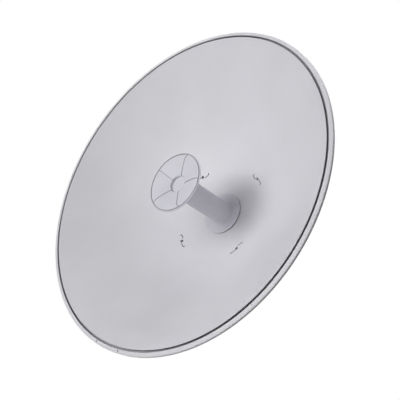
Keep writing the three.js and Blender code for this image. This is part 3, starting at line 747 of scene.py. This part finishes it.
class DISH_OT_feed(bpy.types.Operator):
    """Make the feed tube, its cap, the sub-reflector, the dark seal whose black also paints the flange gap's shadow,
    and the rear cap
    """

    bl_idname = "dish.feed"
    bl_label = "Feed"

    def execute(self, context):
        settings = context.scene.dish_feed
        plastic = shared(moulded_plastic, settings.plastic)
        self.tube(settings, plastic)
        self.cap(settings, plastic)
        self.rear_cap(plastic)
        ring = [(15.4, 12.0), (27.4, 7.6), (35.4, 7.0), (35.4, 7.6), (27.6, 8.4), (15.4, 12.9)]
        piece(turned([(a, RIM_Y + d) for a, d in ring], 128), "sub_reflector",
              shared(plated_metal, "#C2C4C7", "spun_aluminium"), "antenna", "subreflector")
        # Rubber seal under the flange's lip. Its black is the seal's own colour, and it also stands in as painted
        # shadow for the gap between the flange and the dish.
        seal = filleted([
            (25.45, 104.2), (28.2, 104.2, 0.1), (28.2, 105.05, 0.1), (25.95, 105.3), (25.95, 111.5),
            (27.2, 111.6, 0.3), (27.9, 112.5, 0.3), (27.2, 113.4, 0.3), (25.45, 113.4)])
        piece(turned([(a, RIM_Y + d) for a, d in seal], 96), "seal_ring_and_gap_shadow", shared(black_rubber),
              "antenna", "feed_seal")
        return {"FINISHED"}

    def tube(self, settings, plastic):
        r = settings.tube_radius
        front = settings.flange_depth
        flange = TUBE_HIGH.x
        barrel = 25.4
        end = TUBE_HIGH.y - RIM_Y
        outline = filleted([
            (r, 14.8), (r, front, 3.5), (flange, front, 0.3), (flange, front + 0.6, 0.1),
            (barrel, front + 0.6), (barrel, end, 0.4), (23.6, end, 0.4), (23.6, 107), (12.8, 106),
            (12.8, 14.8)])
        body = turned([(a, RIM_Y + d) for a, d in outline], 128)
        jack_way = block((-12, RIM_Y + 108.4, -30), (11, RIM_Y + end + 1, 0))
        latch_way = block((-4, RIM_Y + 119.4, 20), (4, RIM_Y + 123.4, 30))
        piece(carved(body, jack_way, latch_way), "feed_tube_moulding", plastic, "antenna", "feed_tube")

    def cap_face(self):
        """Front of the cap from the middle out: recess, shallow dish, ring groove and edge."""
        return filleted([
            (0, 13.2), (10.7, 13.2, 0.4), (11.3, 9.6, 0.5), (16, 8.4, 6), (22, 6.6, 12), (30, 4.7, 14),
            (36.8, 4.1), (37.0, 5.3), (37.9, 5.3), (38.1, 4.05), (38.9, 4.0, 0.2), (CAP_R, 4.3)],
            closed=False)

    def cap(self, settings, plastic):
        face = self.cap_face()
        back = filleted([
            (CAP_R, 4.3), (CAP_R, 5.2, 0.2), (38.5, 5.6), (38.2, 6.4, 0.3), (37.2, 6.8, 0.3),
            (27.2, 7.4, 2), (16.2, 11.3, 2), (12.4, 12.6), (12.4, 22), (11, 22), (11, 15.8), (0, 15.8)], closed=False)
        body = turned([(a, RIM_Y + d) for a, d in face + back[1:]], 160, closed=False)
        slope = [(r, d) for r, d in face if 11.4 < r < 36.9]
        cutters = []
        for i, lean in enumerate((42, 42, -42, -42, 0)):
            turn = Matrix.Rotation(math.radians(72 * i - 83.5), 4, "Y")
            stretches = ((13.2, 33.6, 0, 0), (33.4, 37.8, lean, 33.6), (11, 13.6, -lean, 13.4))
            for start, stop, bend, hinge in stretches:
                groove = self.groove(slope, start, stop, settings)
                there = Matrix.Translation((hinge * MM, 0, 0))
                bent = there @ Matrix.Rotation(math.radians(bend), 4, "Y") @ there.inverted()
                cutters.append(moved(groove, turn @ bent))
        piece(carved(body, *cutters), "feed_cap_moulding", plastic, "antenna", "feed_cap")

    def groove(self, slope, start, stop, settings):
        """Cutter for a straight stretch of groove, of even depth below the cap's sloping face."""
        line = [(r, d) for r, d in slope if start < r < stop]
        first = min(slope, key=lambda point: abs(point[0] - start))
        last = min(slope, key=lambda point: abs(point[0] - stop))
        line = [(start, first[1]), *line, (stop, last[1])]
        floor = [(r, RIM_Y + d + settings.groove_depth) for r, d in line]
        half = settings.groove_width / 2
        return prism([*floor, (stop, RIM_Y + 2), (start, RIM_Y + 2)], -half, half, "Z")

    def rear_cap(self, plastic):
        """Round cover of the barrel's end, with a finger groove and three clear windows for lamps."""
        start, end = CORE_LOW.y, CORE_HIGH.y
        outline = filleted([
            (0, start), (25, start), (25, end, 0.8), (21.2, end, 0.2), (20.8, end - 0.5), (19.6, end - 0.5),
            (19.2, end, 0.2), (0, end)], closed=False)
        windows = [drill(1.6, start - 2, end + 2, x, 12) for x in (-6, 0, 6)]
        piece(carved(turned(outline, 128, closed=False), *windows), "rear_cap_moulding", plastic,
              "antenna", "feed_rear_cap")
        low, high = edges_of("light_pipes")
        pipes = soften(block((low.x, low.y, low.z), (high.x, low.y + 1.8, high.z)), 0.3)
        domes = []
        for x in (-6, 0, 6):
            dome = filleted([(0, low.y + 1), (1.2, low.y + 1), (1.2, high.y, 0.5), (0, high.y)],
                            closed=False)
            domes.append(turned(dome, 32, "Y", (x, 0, 12), closed=False))
        clear = shared(clear_moulding, "#E8F0F2", "clear_polycarbonate")
        piece(merged(pipes, *domes), "lamp_windows", clear, "antenna", "light_pipes")


class DISH_OT_electronics(bpy.types.Operator):
    """Make the board, its shields, the radiator, the network jack and the reset switch"""

    bl_idname = "dish.electronics"
    bl_label = "Electronics"

    def execute(self, context):
        tin = shared(plated_metal, "#B9BBBC", "tinned_sheet")
        low, high = edges_of("feed_board")
        piece(block(low, high), "radio_board", shared(circuit_board), "antenna", "feed_board",
              bevel=0.12)
        for name in ("shield_can_front", "shield_can_rear"):
            low, high = edges_of(name)
            vents = [drill(0.55, high.x - 0.4, high.x + 1, low.y + 4 + 4 * i, k * 4.0, "X", 12)
                     for i in range(int((high.y - low.y - 4) / 4)) for k in (-1, 0, 1)]
            shell = carved(soften(block(low, high), 0.5, 3), *vents)
            piece(shell, name + "_sheet", tin, "antenna", name)
        low, high = edges_of("feed_radiator")
        outline = [(low.y, low.z), (high.y, low.z), (high.y, high.z), (low.y, high.z), (low.y, 6),
                   (high.y - 4, 2), (high.y - 4, -2), (low.y, -6)]
        copper = shared(plated_metal, "#C98A63", "bare_copper")
        piece(prism(outline, low.x, high.x, "X"), "radiator_sheet", copper, "antenna", "feed_radiator",
              bevel=0.1)
        self.jack(tin)
        self.reset(context)
        return {"FINISHED"}

    def jack(self, tin):
        """Shielded jack, open downwards, with grounding tongues and eight spring contacts."""
        low, high = JACK_LOW, JACK_HIGH
        mouth = block((low.x + 1.3, low.y + 1.6, low.z - 2), (high.x - 1.3, high.y - 1.6, low.z + 14))
        slots = [block((high.x - 0.5, y, low.z + 4), (high.x + 1, y + 0.4, low.z + 11))
                 for y in (low.y + 4, low.y + 6.4, high.y - 6.8, high.y - 4.4)]
        slots.append(block((low.x + 4, low.y - 1, low.z + 6), (low.x + 9, low.y + 0.3, low.z + 10)))
        shell = carved(soften(block(low, high), 0.5, 3), mouth, *slots)
        piece(shell, "jack_shell", tin, "antenna", "ethernet_jack", bevel=0.12)
        wires = []
        middle = (low.y + high.y) / 2
        for i in range(8):
            y = middle + (i - 3.5) * 1.02
            wire = drill(0.22, 0, 7.5, 0, 0, "Z", 10)
            lean = Matrix.Translation(Vector((low.x + 1.6, y, low.z + 5)) * MM) @ Matrix.Rotation(
                math.radians(24), 4, "Y")
            foot = drill(0.22, low.x + 1.4, low.x + 3, y, low.z + 5, "X", 10)
            wires += [moved(wire, lean), foot]
        piece(merged(*wires), "jack_contacts", shared(plated_metal, "#D9B45F", "gold_plated_spring"),
              "antenna")

    def reset(self, context):
        low, high = edges_of("reset_button")
        x, y = (low.x + high.x) / 2, (low.y + high.y) / 2
        radius = (high.x - low.x) / 2
        outline = filleted([
            (0, low.z), (radius, low.z, 0.5), (radius, high.z - 3), (radius - 0.4, high.z - 2.6),
            (radius - 0.4, high.z), (0, high.z)], closed=False)
        piece(turned(outline, 32, "Z", (x, y, 0), closed=False), "reset_plunger",
              shared(moulded_plastic, "#55575B", "moulded_grey_plastic"), "reset_button", "reset_button")
        low, high = edges_of("reset_switch")
        body = soften(block(low, high), 0.3, 2)
        rivets = [drill(0.5, low.y, low.y + 0.2, low.x + 1 + a * 2.9, low.z + 1 + b * 3, "Y", 12)
                  for a in (0, 1) for b in (0, 1)]
        black = shared(moulded_plastic, "#33353A", "moulded_black_plastic")
        piece(carved(body, *rivets), "reset_switch_body", black, "antenna", "reset_switch")


# ---- Rear housing ------------------------------------------------------------------------------


class DISH_OT_housing(bpy.types.Operator):
    """Make the round housing behind the dish and the socket for the feed"""

    bl_idname = "dish.housing"
    bl_label = "Rear housing"

    def execute(self, context):
        dish = context.scene.dish_settings
        plastic = shared(moulded_plastic, context.scene.dish_feed.plastic)
        self.shell(dish, plastic)
        self.socket(dish, plastic)
        return {"FINISHED"}

    def in_front(self, settings):
        """Everything in front of the reflector's back, and the gap behind it."""
        face = [(r, bowl_depth(r, settings, settings.sheet) + 0.3) for r in range(0, 110, 6)]
        outline = [*face, (108, 20), (0, 20)]
        return turned([(r, RIM_Y + d) for r, d in outline], 128, closed=False)

    def shell(self, settings, plastic):
        r, back, wall = HOUSING_R, REAR_Y, 2.2
        outline = filleted([
            (25.7, back, 0.4), (27.6, back, 0.2), (28.0, back - 0.5), (29.2, back - 0.5), (29.6, back, 0.2),
            (r, back, 9), (r, back - 18), (r - 0.5, back - 18.4), (r - 0.5, back - 19.2),
            (r, back - 19.6), (r, back - 45), (r - wall, back - 45), (r - wall, back - wall, 7),
            (25.7, back - wall)])
        body = turned(outline, 144)
        bosses = [drill(6, back - 41, back - wall + 1, x, z) for x, z in seats(settings.seat_radius)]
        web = [(31, back - 40), (r - 1, back - 40), (r - 1, back - 9), (r - 3.2, back - 3.2), (r - 9, back - 1),
               (31, back - 1)]
        ribs = [moved(prism(web, -0.9, 0.9, "Z"), Matrix.Rotation(math.radians(-angle), 4, "Y"))
                for angle in (22.5, 67.5, 112.5, 157.5, 202.5, 337.5)]
        far, near = back + 2, back - wall - 2
        frame_low, frame_high = DOOR_LOW - Vector((0.5, 0, 0.6)), DOOR_HIGH + Vector((0.5, 0, 0.5))
        cutters = [drill(2.4, back - 50, far, x, z) for x, z in seats(settings.seat_radius)]
        cutters += [
            self.in_front(settings),
            block((frame_low.x, near, -75), (frame_high.x, far, frame_high.z)),
            block((LATCH_LOW.x - 0.6, near, LATCH_HIGH.z - 14.6),
                  (LATCH_HIGH.x + 0.6, far, LATCH_HIGH.z + 4.6)),
            drill(6.3, -r - 2, 6 - r, 0, (GROMMET_LOW.y + GROMMET_HIGH.y) / 2, "Z", 48),
            drill(2.6, -18.1, 18.1, back - 1.1, -74.4, "X"),
            self.recess(back, (-21, -78.2), (21, -32)),
            self.recess(back, (-9, 45.6), (9, 70.4)),
        ]
        shaped = carved(body, *cutters, union=[*bosses, *ribs])
        piece(shaped, "housing_moulding", plastic, "antenna", "rear_housing", bevel=0.2)

    def recess(self, back, low, high):
        """Shallow sunk panel round an opening, which stays out of the wall."""
        corners = [(low[0], low[1], 3), (high[0], low[1], 3), (high[0], high[1], 3), (low[0], high[1], 3)]
        return prism(filleted(corners), back - 0.4, back + 2)

    def socket(self, settings, plastic):
        r = 30.2
        start, end = REAR_Y - 29, REAR_Y - 2.5
        outline = filleted([(r, start), (r, end - 1.6, 0.6), (r + 3, end - 1.6, 0.3), (r + 3, end),
                            (r - 2, end, 0.3), (r - 2, start)])
        plug_way = block((-14, start - 1, -45), (13, end + 1, 0))
        latch_way = block((-4.6, end - 7.7, 20), (4.6, end + 1, 36))
        piece(carved(turned(outline, 128), self.in_front(settings), plug_way, latch_way), "socket_moulding",
              plastic, "antenna", "feed_socket", bevel=0.2)


class DISH_OT_fittings(bpy.types.Operator):
    """Make the port door, its pin, the feed's latch and the cable grommet"""

    bl_idname = "dish.fittings"
    bl_label = "Housing fittings"

    def execute(self, context):
        plastic = shared(moulded_plastic, context.scene.dish_feed.plastic)
        self.door(plastic)
        self.latch(plastic)
        self.grommet()
        return {"FINISHED"}

    def door(self, plastic):
        low, high = DOOR_LOW, DOOR_HIGH
        axis_y, axis_z = REAR_Y - 1.1, -74.4
        outline = filleted([
            (low.x, axis_z), (high.x, axis_z), (high.x, high.z, 1.8), (low.x, high.z, 1.8)])
        leaf = prism(outline, REAR_Y - 2.2, REAR_Y)
        lip = prism(filleted([(REAR_Y - 0.2, -39.2), (high.y, -38.8, 0.5), (high.y, -37.6, 0.5),
                              (REAR_Y - 0.2, -37.2)]), -6, 6, "X")
        knuckle = drill(2.2, low.x, high.x, axis_y, axis_z, "X", 32)
        grips = [block((-9, REAR_Y - 0.5, z), (9, REAR_Y + 1, z + 0.8)) for z in (-42.4, -44.4, -46.4)]
        joints = [block((x - 0.2, REAR_Y - 4, axis_z - 3), (x + 0.2, REAR_Y + 3, axis_z + 2.4))
                  for x in (-11.5, 11.5)]
        bore = drill(1.1, low.x - 1, high.x + 1, axis_y, axis_z, "X", 24)
        body = carved(leaf, bore, *grips, *joints, union=[lip, knuckle])
        piece(body, "door_moulding", plastic, "port_door", "port_door", bevel=0.15)
        pin_low, pin_high = edges_of("door_pin")
        pin = filleted([(0, pin_low.x), (0.8, pin_low.x, 0.2), (0.8, pin_high.x, 0.2), (0, pin_high.x)],
                       closed=False)
        piece(turned(pin, 24, "X", (0, axis_y, axis_z), closed=False), "door_pin_wire",
              shared(plated_metal, "#C4C6C8", "zinc_plate"), "antenna", "door_pin")

    def latch(self, plastic):
        low, high = LATCH_LOW, LATCH_HIGH
        face = high.y
        crown = prism(filleted([(REAR_Y - 4.4, high.z - 14), (face - 1.2, high.z - 14, 1.2),
                                (face, high.z - 7, 20), (face - 0.6, high.z, 1.4), (REAR_Y - 4.4, high.z)]),
                      low.x, high.x, "X")
        arm = prism([(low.y, 24.6), (low.y, high.z), (low.y + 3.2, high.z), (low.y + 3.2, 26.4),
                     (low.y + 1.6, 24.6)], -4, 4, "X")
        bridge = block((-4, low.y, high.z - 13), (4, low.y + 5, high.z - 1))
        heights = [high.z - 11.6 + 2.4 * i for i in range(4)]
        grips = [block((low.x - 1, face - 0.8, z), (high.x + 1, face + 1, z + 0.8)) for z in heights]
        body = carved(crown, *grips, union=[arm, bridge])
        piece(body, "latch_moulding", plastic, "feed_latch", "feed_latch", bevel=0.2)

    def grommet(self):
        """Round lipped bush, slit down one side so that it slips over the cable."""
        middle = (GROMMET_LOW.y + GROMMET_HIGH.y) / 2
        outline = filleted([
            (3.2, -88.6, 0.6), (4.6, -88.6, 0.2), (4.9, -88.1), (5.4, -88.1), (5.7, -88.6, 0.2),
            (8, -88.6, 0.8), (8, -86.6, 0.6), (6, -86.2), (6, -83.2), (7.4, -82.8, 0.4), (6.6, -79, 0.4),
            (3.2, -79, 0.4)])
        slit = block((-0.15, middle, -90), (0.15, middle + 9, -78))
        piece(carved(turned(outline, 64, "Z", (0, middle, 0)), slit), "grommet_bush", shared(black_rubber),
              "antenna", "cable_grommet")


# ---- Mount -------------------------------------------------------------------------------------


class DISH_OT_tilt_bracket(bpy.types.Operator):
    """Make the tilting bracket: a base plate with two welded ears, curved slots and an angle scale"""

    bl_idname = "dish.tilt_bracket"
    bl_label = "Tilt bracket"

    def execute(self, context):
        settings = context.scene.dish_mount
        steel = shared(galvanised_steel)
        front = REAR_Y + 0.3
        back = front + settings.plate
        corners = [
            (56, 56, 8), (14, 56, 3), (11, 47, 2.5), (-11, 47, 2.5), (-14, 56, 3), (-56, 56, 8),
            (-56, -56, 8), (-24, -56, 3), (-21, -32, 4), (21, -32, 4), (24, -56, 3), (56, -56, 8)]
        base = prism(filleted(corners), front, back)
        circle = context.scene.dish_settings.seat_radius
        holes = [drill(2.6, front - 1, back + 1, x, z) for x, z in seats(circle)]
        holes.append(drill(23, front - 1, back + 1, 0, 0, sides=96))
        body = carved(base, *holes, union=[self.earth_pad(back)])
        parts = [body]
        for side in (-1, 1):
            parts.append(self.ear(side, back, settings))
            parts += self.weld(side, back)
        piece(merged(*parts), "tilt_bracket_plate", steel, "antenna", "tilt_bracket",
              bevel=0.25)
        return {"FINISHED"}

    def earth_pad(self, back):
        corners = filleted([(46.5, -7, 1), (55.5, -7, 1), (55.5, 7, 1), (46.5, 7, 1)])
        return prism(corners, back - 0.5, back + 0.6)

    def ear(self, side, back, settings):
        """One ear, with its pivot hole, its curved slot and a tick every 2 degrees."""
        outer = side * 44
        inner = side * (44 - settings.plate)
        outline = [(back, -34), *arc(-46, -18, 15, -70, 0, 12), *arc(-46, 18, 16, 0, 80, 14),
                   (back, 38)]
        start, stop = sorted((inner, outer))
        hole = drill(4.4, start - 1, stop + 1, PIVOT_Y, PIVOT_Z, "X", 40)
        slot = prism(self.slot(settings.lock_radius), start - 1, stop + 1, "X")
        ticks = []
        for k in range(-10, 11):
            reach = 36.6 if k % 5 == 0 else 35.2
            low, high = sorted((outer - side * 0.25, outer + side))
            tick = block((low, -0.17, settings.lock_radius + 5), (high, 0.17, reach))
            turn = Matrix.Translation(Vector((0, PIVOT_Y, PIVOT_Z)) * MM) @ Matrix.Rotation(
                math.radians(2 * k), 4, "X")
            ticks.append(moved(tick, turn))
        return carved(prism(outline, start, stop, "X"), hole, slot, merged(*ticks))

    def slot(self, radius):
        """Outline of the curved slot that the lock bolts slide in."""
        half, wide = 21, 3.6
        far = (PIVOT_Y + radius * math.cos(math.radians(90 + half)),
               PIVOT_Z + radius * math.sin(math.radians(90 + half)))
        near = (PIVOT_Y + radius * math.cos(math.radians(90 - half)),
                PIVOT_Z + radius * math.sin(math.radians(90 - half)))
        return (arc(PIVOT_Y, PIVOT_Z, radius + wide, 90 - half, 90 + half, 16)
                + arc(*far, wide, 90 + half + 20, 270 + half - 20, 8)
                + arc(PIVOT_Y, PIVOT_Z, radius - wide, 90 + half, 90 - half, 16)
                + arc(*near, wide, -90 - half + 20, 90 - half - 20, 8))

    def weld(self, side, back):
        """Three short beads along the outside of an ear's foot, each a row of overlapping ripples."""
        beads = []
        for start in (-30, -2, 24):
            for i in range(10):
                bead = bmesh.new()
                place = Matrix.Translation(Vector((side * 44, back, start + 1.15 * i)) * MM)
                bmesh.ops.create_uvsphere(bead, u_segments=14, v_segments=8, radius=1,
                                          matrix=place @ Matrix.Diagonal((2.1 * MM, 1.8 * MM, 1.3 * MM, 1)))
                beads.append(bead)
        return beads


class DISH_OT_mast_clamp(bpy.types.Operator):
    """Make the bent mast bracket and the clamp saddle, with toothed V notches for the mast"""

    bl_idname = "dish.mast_clamp"
    bl_label = "Mast bracket and saddle"

    def execute(self, context):
        settings = context.scene.dish_mount
        steel = shared(galvanised_steel)
        piece(self.bracket(settings), "mast_bracket_plate", steel, "mast_side", "mast_bracket",
              bevel=0.25)
        piece(self.saddle(settings), "clamp_saddle_plate", steel, "clamp", "clamp_saddle",
              bevel=0.25)
        return {"FINISHED"}

    def notch(self, base, tip):
        """Toothed V, open towards the mast, that grips it along two lines."""
        slope = math.tan(math.radians(60))
        way = math.copysign(1, tip - base)
        apex = -way * (24.15 / math.sin(math.radians(60)) + 0.3)
        floor = base + way * 3.3
        right = []
        for i in range(11):
            y = tip + (floor - tip) * i / 10
            into = 1.1 if i % 2 else 0
            right.append((abs(y - apex) * slope + into * 0.5, y - way * into * 0.866))
        left = [(-x, y) for x, y in reversed(right)]
        edge = right[0][0]
        return prism([*right, *left, (-edge - 2, tip + way * 2), (edge + 2, tip + way * 2)], -30, 30, "Z")

    def channel(self, half, high, base, tip, settings):
        """C-shaped section: a web with a flange bent towards the mast at top and bottom."""
        way = math.copysign(1, tip - base)
        plate, bend = settings.plate, settings.bend
        section = filleted([
            (tip, high), (base, high, plate + bend), (base, -high, plate + bend), (tip, -high),
            (tip, plate - high), (base + way * plate, plate - high, bend),
            (base + way * plate, high - plate, bend), (tip, high - plate)])
        low, top = sorted((base - way, tip))
        plan = filleted([(-half, low, 4 if way < 0 else 0), (half, low, 4 if way < 0 else 0),
                         (half, top, 4 if way > 0 else 0), (-half, top, 4 if way > 0 else 0)])
        return carved(prism(section, -half, half, "X"), inside=[prism(plan, -30, 30, "Z")])

    def bracket(self, settings):
        plate, bend = settings.plate, settings.bend
        wide, base, tip = CRADLE_HIGH.x, -30.0, CRADLE_HIGH.y
        high = CRADLE_HIGH.z
        corner = plate + bend
        flanges = self.channel(wide - corner, high, base, tip, settings)
        back = base + plate
        section = filleted([
            (-wide, -62), (-wide, back, corner), (wide, back, corner), (wide, -62), (wide - plate, -62),
            (wide - plate, base, bend), (plate - wide, base, bend), (plate - wide, -62)])
        slim = high - corner
        side = filleted([
            (back + 0.5, -slim), (back + 0.5, slim), (-32.4, slim, 1.5), (-35, 22.6, 2)], closed=False)
        side += arc(-48, PIVOT_Z + settings.lock_radius, 9, 90, 180, 10)
        side += arc(-48, PIVOT_Z, 10, 180, 270, 10)
        side += filleted([(-48, -24), (-35, -23.6, 2), (-32.4, -slim, 1.5), (back + 0.5, -slim)],
                         closed=False)[1:-1]
        ears = carved(prism(section, -high, high, "Z"), inside=[prism(side, -50, 50, "X")])
        cutters = [self.notch(base, tip)]
        for x in (-30, 30):
            cutters.append(block((x - 4.3, base - 1, -4.3), (x + 4.3, back + 1, 4.3)))
        cutters.append(drill(4.4, -50, 50, PIVOT_Y, PIVOT_Z, "X", 40))
        cutters.append(drill(3.4, -50, 50, PIVOT_Y, PIVOT_Z + settings.lock_radius, "X", 32))
        return carved(flanges, *cutters, union=[ears])

    def saddle(self, settings):
        base, tip = SADDLE_HIGH.y, SADDLE_LOW.y
        body = self.channel(SADDLE_HIGH.x, SADDLE_HIGH.z, base, tip, settings)
        holes = [drill(4.4, base - 5, base + 1, x, 0, sides=40) for x in (-30, 30)]
        return carved(body, self.notch(base, tip), *holes)


class DISH_OT_fasteners(bpy.types.Operator):
    """Make every bolt, nut, washer and screw"""

    bl_idname = "dish.fasteners"
    bl_label = "Fasteners"

    def execute(self, context):
        self.zinc = shared(plated_metal, "#C4C6C8", "zinc_plate")
        self.pitch = context.scene.dish_mount.thread_pitch
        for side, word in ((-1, "left"), (1, "right")):
            self.clamp_set(30 * side, word)
            self.lock_set(side, word, PIVOT_Z + context.scene.dish_mount.lock_radius)
        self.pivot_set()
        dish = context.scene.dish_settings
        for i, (x, z) in enumerate(seats(dish.seat_radius)):
            self.seat_screw(f"seat_screw_{i + 1}", x, z, RIM_Y + bowl_depth(dish.seat_radius, dish))
        self.earth_screw()
        return {"FINISHED"}

    def keep(self, bm, node):
        piece(bm, node + "_plated", self.zinc, NODE_BODY[node], node)

    def ends(self, node, axis):
        """Lowest and highest place of a node along an axis, in mm."""
        low, high = edges_of(node)
        index = "XYZ".index(axis)
        return low[index], high[index]

    def ring(self, node, axis, a, b, bore, radius):
        """A flat washer with the rounded edge that punching leaves."""
        start, stop = self.ends(node, axis)
        outline = filleted([(bore, start), (radius, start, 0.2), (radius, stop, 0.5), (bore, stop, 0.2)])
        self.keep(turned(outline, 64, axis, at(axis, a, b)), node)

    def nut(self, node, axis, a, b, across, bore):
        """A chamfered hexagon nut with a countersunk bore."""
        start, stop = self.ends(node, axis)
        way = math.copysign(1, stop - start)
        flare = [(0, start - way), (bore + 0.7, start - way), (bore + 0.7, start), (bore, start + way * 0.7),
                 (bore, stop - way * 0.7), (bore + 0.7, stop), (bore + 0.7, stop + way), (0, stop + way)]
        hole = turned(flare, 48, axis, at(axis, a, b), closed=False)
        self.keep(carved(hex_block(axis, a, b, across, start, stop), hole), node)

    def clamp_set(self, x, word):
        """Coach bolt through both halves of the clamp, with a washer and a nut."""
        low, high = edges_of(f"clamp_bolt_{word}")
        seat = low.y + 4.4
        dome = filleted([(0, low.y), (3.4, low.y + 0.2, 6), (6.2, low.y + 1.9, 4), (7, seat - 0.9, 0.5),
                         (7, seat, 0.3), (3.9, seat)], closed=False)
        shank = turned(dome + [(3.9, 8)] + thread(3.9, 9, high.y, self.pitch), 48, "Y", (x, 0, 0),
                       closed=False)
        neck = soften(block((x - 3.9, seat - 0.3, -3.9), (x + 3.9, seat + 2.6, 3.9)), 0.3)
        self.keep(merged(shank, neck), f"clamp_bolt_{word}")
        self.ring(f"clamp_washer_{word}", "Y", x, 0, 4.3, 7.2)
        self.nut(f"clamp_nut_{word}", "Y", x, 0, 12, 4.05)

    def lock_set(self, side, word, z):
        """Hex bolt, washer and nut that lock the tilt on one side."""
        low, high = edges_of(f"lock_bolt_{word}")
        outer, inner = (high.x, low.x) if side > 0 else (low.x, high.x)
        under = side * 46
        head = hex_block("X", PIVOT_Y, z, 10, under, outer)
        shank = turned([(0, outer - side), (2.9, outer - side)] + [(2.9, side * 42)]
                       + thread(2.9, side * 41.5, inner, 1.0), 40, "X", (0, PIVOT_Y, z), closed=False)
        self.keep(merged(head, shank), f"lock_bolt_{word}")
        self.ring(f"lock_washer_{word}", "X", PIVOT_Y, z, 3.3, 6.8)
        self.nut(f"lock_nut_{word}", "X", PIVOT_Y, z, 10, 3.0)

    def pivot_set(self):
        """Long flanged hex bolt across both ears, and its nut."""
        low, high = edges_of("pivot_bolt")
        head = hex_block("X", PIVOT_Y, PIVOT_Z, 13, low.x, low.x + 4.4)
        skirt = filleted([(0, low.x + 3.6), (6.2, low.x + 3.6), (8, low.x + 4.4, 0.3), (8, low.x + 5.3, 0.2),
                          (3.9, low.x + 5.3), (3.9, 34)], closed=False)
        shank = turned(skirt + thread(3.9, 35, high.x, self.pitch), 48, "X", (0, PIVOT_Y, PIVOT_Z),
                       closed=False)
        self.keep(merged(head, shank), "pivot_bolt")
        self.nut("pivot_nut", "X", PIVOT_Y, PIVOT_Z, 13, 4.05)

    def seat_screw(self, node, x, z, bowl):
        """Pan-head screw with a hexagon socket, whose tip stops short behind the dish's small hole."""
        low, high = edges_of(node)
        outline = filleted([(0, high.y), (3.2, high.y, 1), (5, high.y - 1.4, 1.6), (5, high.y - 3, 0.2),
                            (1.5, high.y - 3)], closed=False)
        body = turned(outline + thread(1.5, high.y - 4, bowl + 5, 1.0), 40, "Y", (x, 0, z), closed=False)
        socket = prism(hexagon(x, z, 4.4), high.y - 1.7, high.y + 1)
        self.keep(carved(body, socket), node)

    def earth_screw(self):
        low, high = edges_of("ground_screw")
        x = (low.x + high.x) / 2
        head = hex_block("Y", x, 0, 8, low.y + 0.8, high.y)
        skirt = turned(filleted([(0, low.y), (4.9, low.y, 0.2), (4.9, low.y + 0.6, 0.2), (4.2, low.y + 1.1),
                                 (0, low.y + 1.1)], closed=False), 48, "Y", (x, 0, 0), closed=False)
        slot = block((x - 6, high.y - 0.9, -0.5), (x + 6, high.y + 1, 0.5))
        self.keep(merged(carved(head, slot), skirt), "ground_screw")


class DISH_OT_level(bpy.types.Operator):
    """Make the spirit level on the mast bracket"""

    bl_idname = "dish.level"
    bl_label = "Spirit level"

    def execute(self, context):
        low, high = HOLDER_LOW, HOLDER_HIGH
        y, z = (low.y + high.y) / 2, high.z
        cradle = soften(block(low, high), 0.8, 3)
        groove = drill(3.1, -7, 7, y, z, "X", 40)
        window = block((-3.4, low.y - 1, z - 1.4), (3.4, high.y + 1, z + 1))
        piece(carved(cradle, groove, window), "level_cradle",
              shared(moulded_plastic, "#33353A", "moulded_black_plastic"), "mast_side", "level_holder",
              bevel=0.12)
        self.capsule("level_glass", y, z, 2.7, VIAL_HIGH.x, "#E8F0F2", "clear_polycarbonate",
                     "clear_plastic", "level_vial")
        self.capsule("level_fluid", y, z, 2.15, VIAL_HIGH.x - 0.5, "#B6D93A", "vial_fluid", "vial_fluid")
        bands = []
        for x in (-1.9, 1.9):
            ring = filleted([(2.5, x - 0.2), (2.74, x - 0.2), (2.74, x + 0.2), (2.5, x + 0.2)])
            bands.append(turned(ring, 48, "X", (0, y, z)))
        piece(merged(*bands), "level_marks", shared(black_rubber), "mast_side")
        return {"FINISHED"}

    def capsule(self, name, y, z, radius, reach, code, finish, slot, node=None):
        outline = filleted([(0, -reach), (radius, -reach, 1.2), (radius, reach, 1.2), (0, reach)], closed=False)
        body = turned(outline, 48, "X", (0, y, z), closed=False)
        piece(body, name, shared(clear_moulding, code, finish), "mast_side", node)


class DISH_PT_panel(bpy.types.Panel):
    bl_label = "Wireless bridge"
    bl_space_type = "VIEW_3D"
    bl_region_type = "UI"
    bl_category = "Dish"

    def draw(self, context):
        for operator in OPERATORS:
            self.layout.operator(operator.bl_idname)
        for name in GROUPS:
            group = getattr(context.scene, name)
            box = self.layout.box()
            for key in group.__annotations__:
                box.prop(group, key)


GROUPS = {
    "dish_settings": DishSettings,
    "dish_feed": FeedSettings,
    "dish_mount": MountSettings,
    "dish_stage": StageSettings,
}
OPERATORS = (
    DISH_OT_stage, DISH_OT_reflector, DISH_OT_feed, DISH_OT_electronics, DISH_OT_housing, DISH_OT_fittings,
    DISH_OT_tilt_bracket, DISH_OT_mast_clamp, DISH_OT_fasteners, DISH_OT_level,
)


def register():
    for group in (*GROUPS.values(), *OPERATORS, DISH_PT_panel):
        bpy.utils.register_class(group)
    for name, group in GROUPS.items():
        setattr(bpy.types.Scene, name, bpy.props.PointerProperty(type=group))


def unregister():
    for name in GROUPS:
        delattr(bpy.types.Scene, name)
    for group in reversed((*GROUPS.values(), *OPERATORS, DISH_PT_panel)):
        bpy.utils.unregister_class(group)


def main():
    register()
    for operator in OPERATORS:
        group, name = operator.bl_idname.split(".")
        getattr(getattr(bpy.ops, group), name)()


if __name__ == "__main__":
    main()
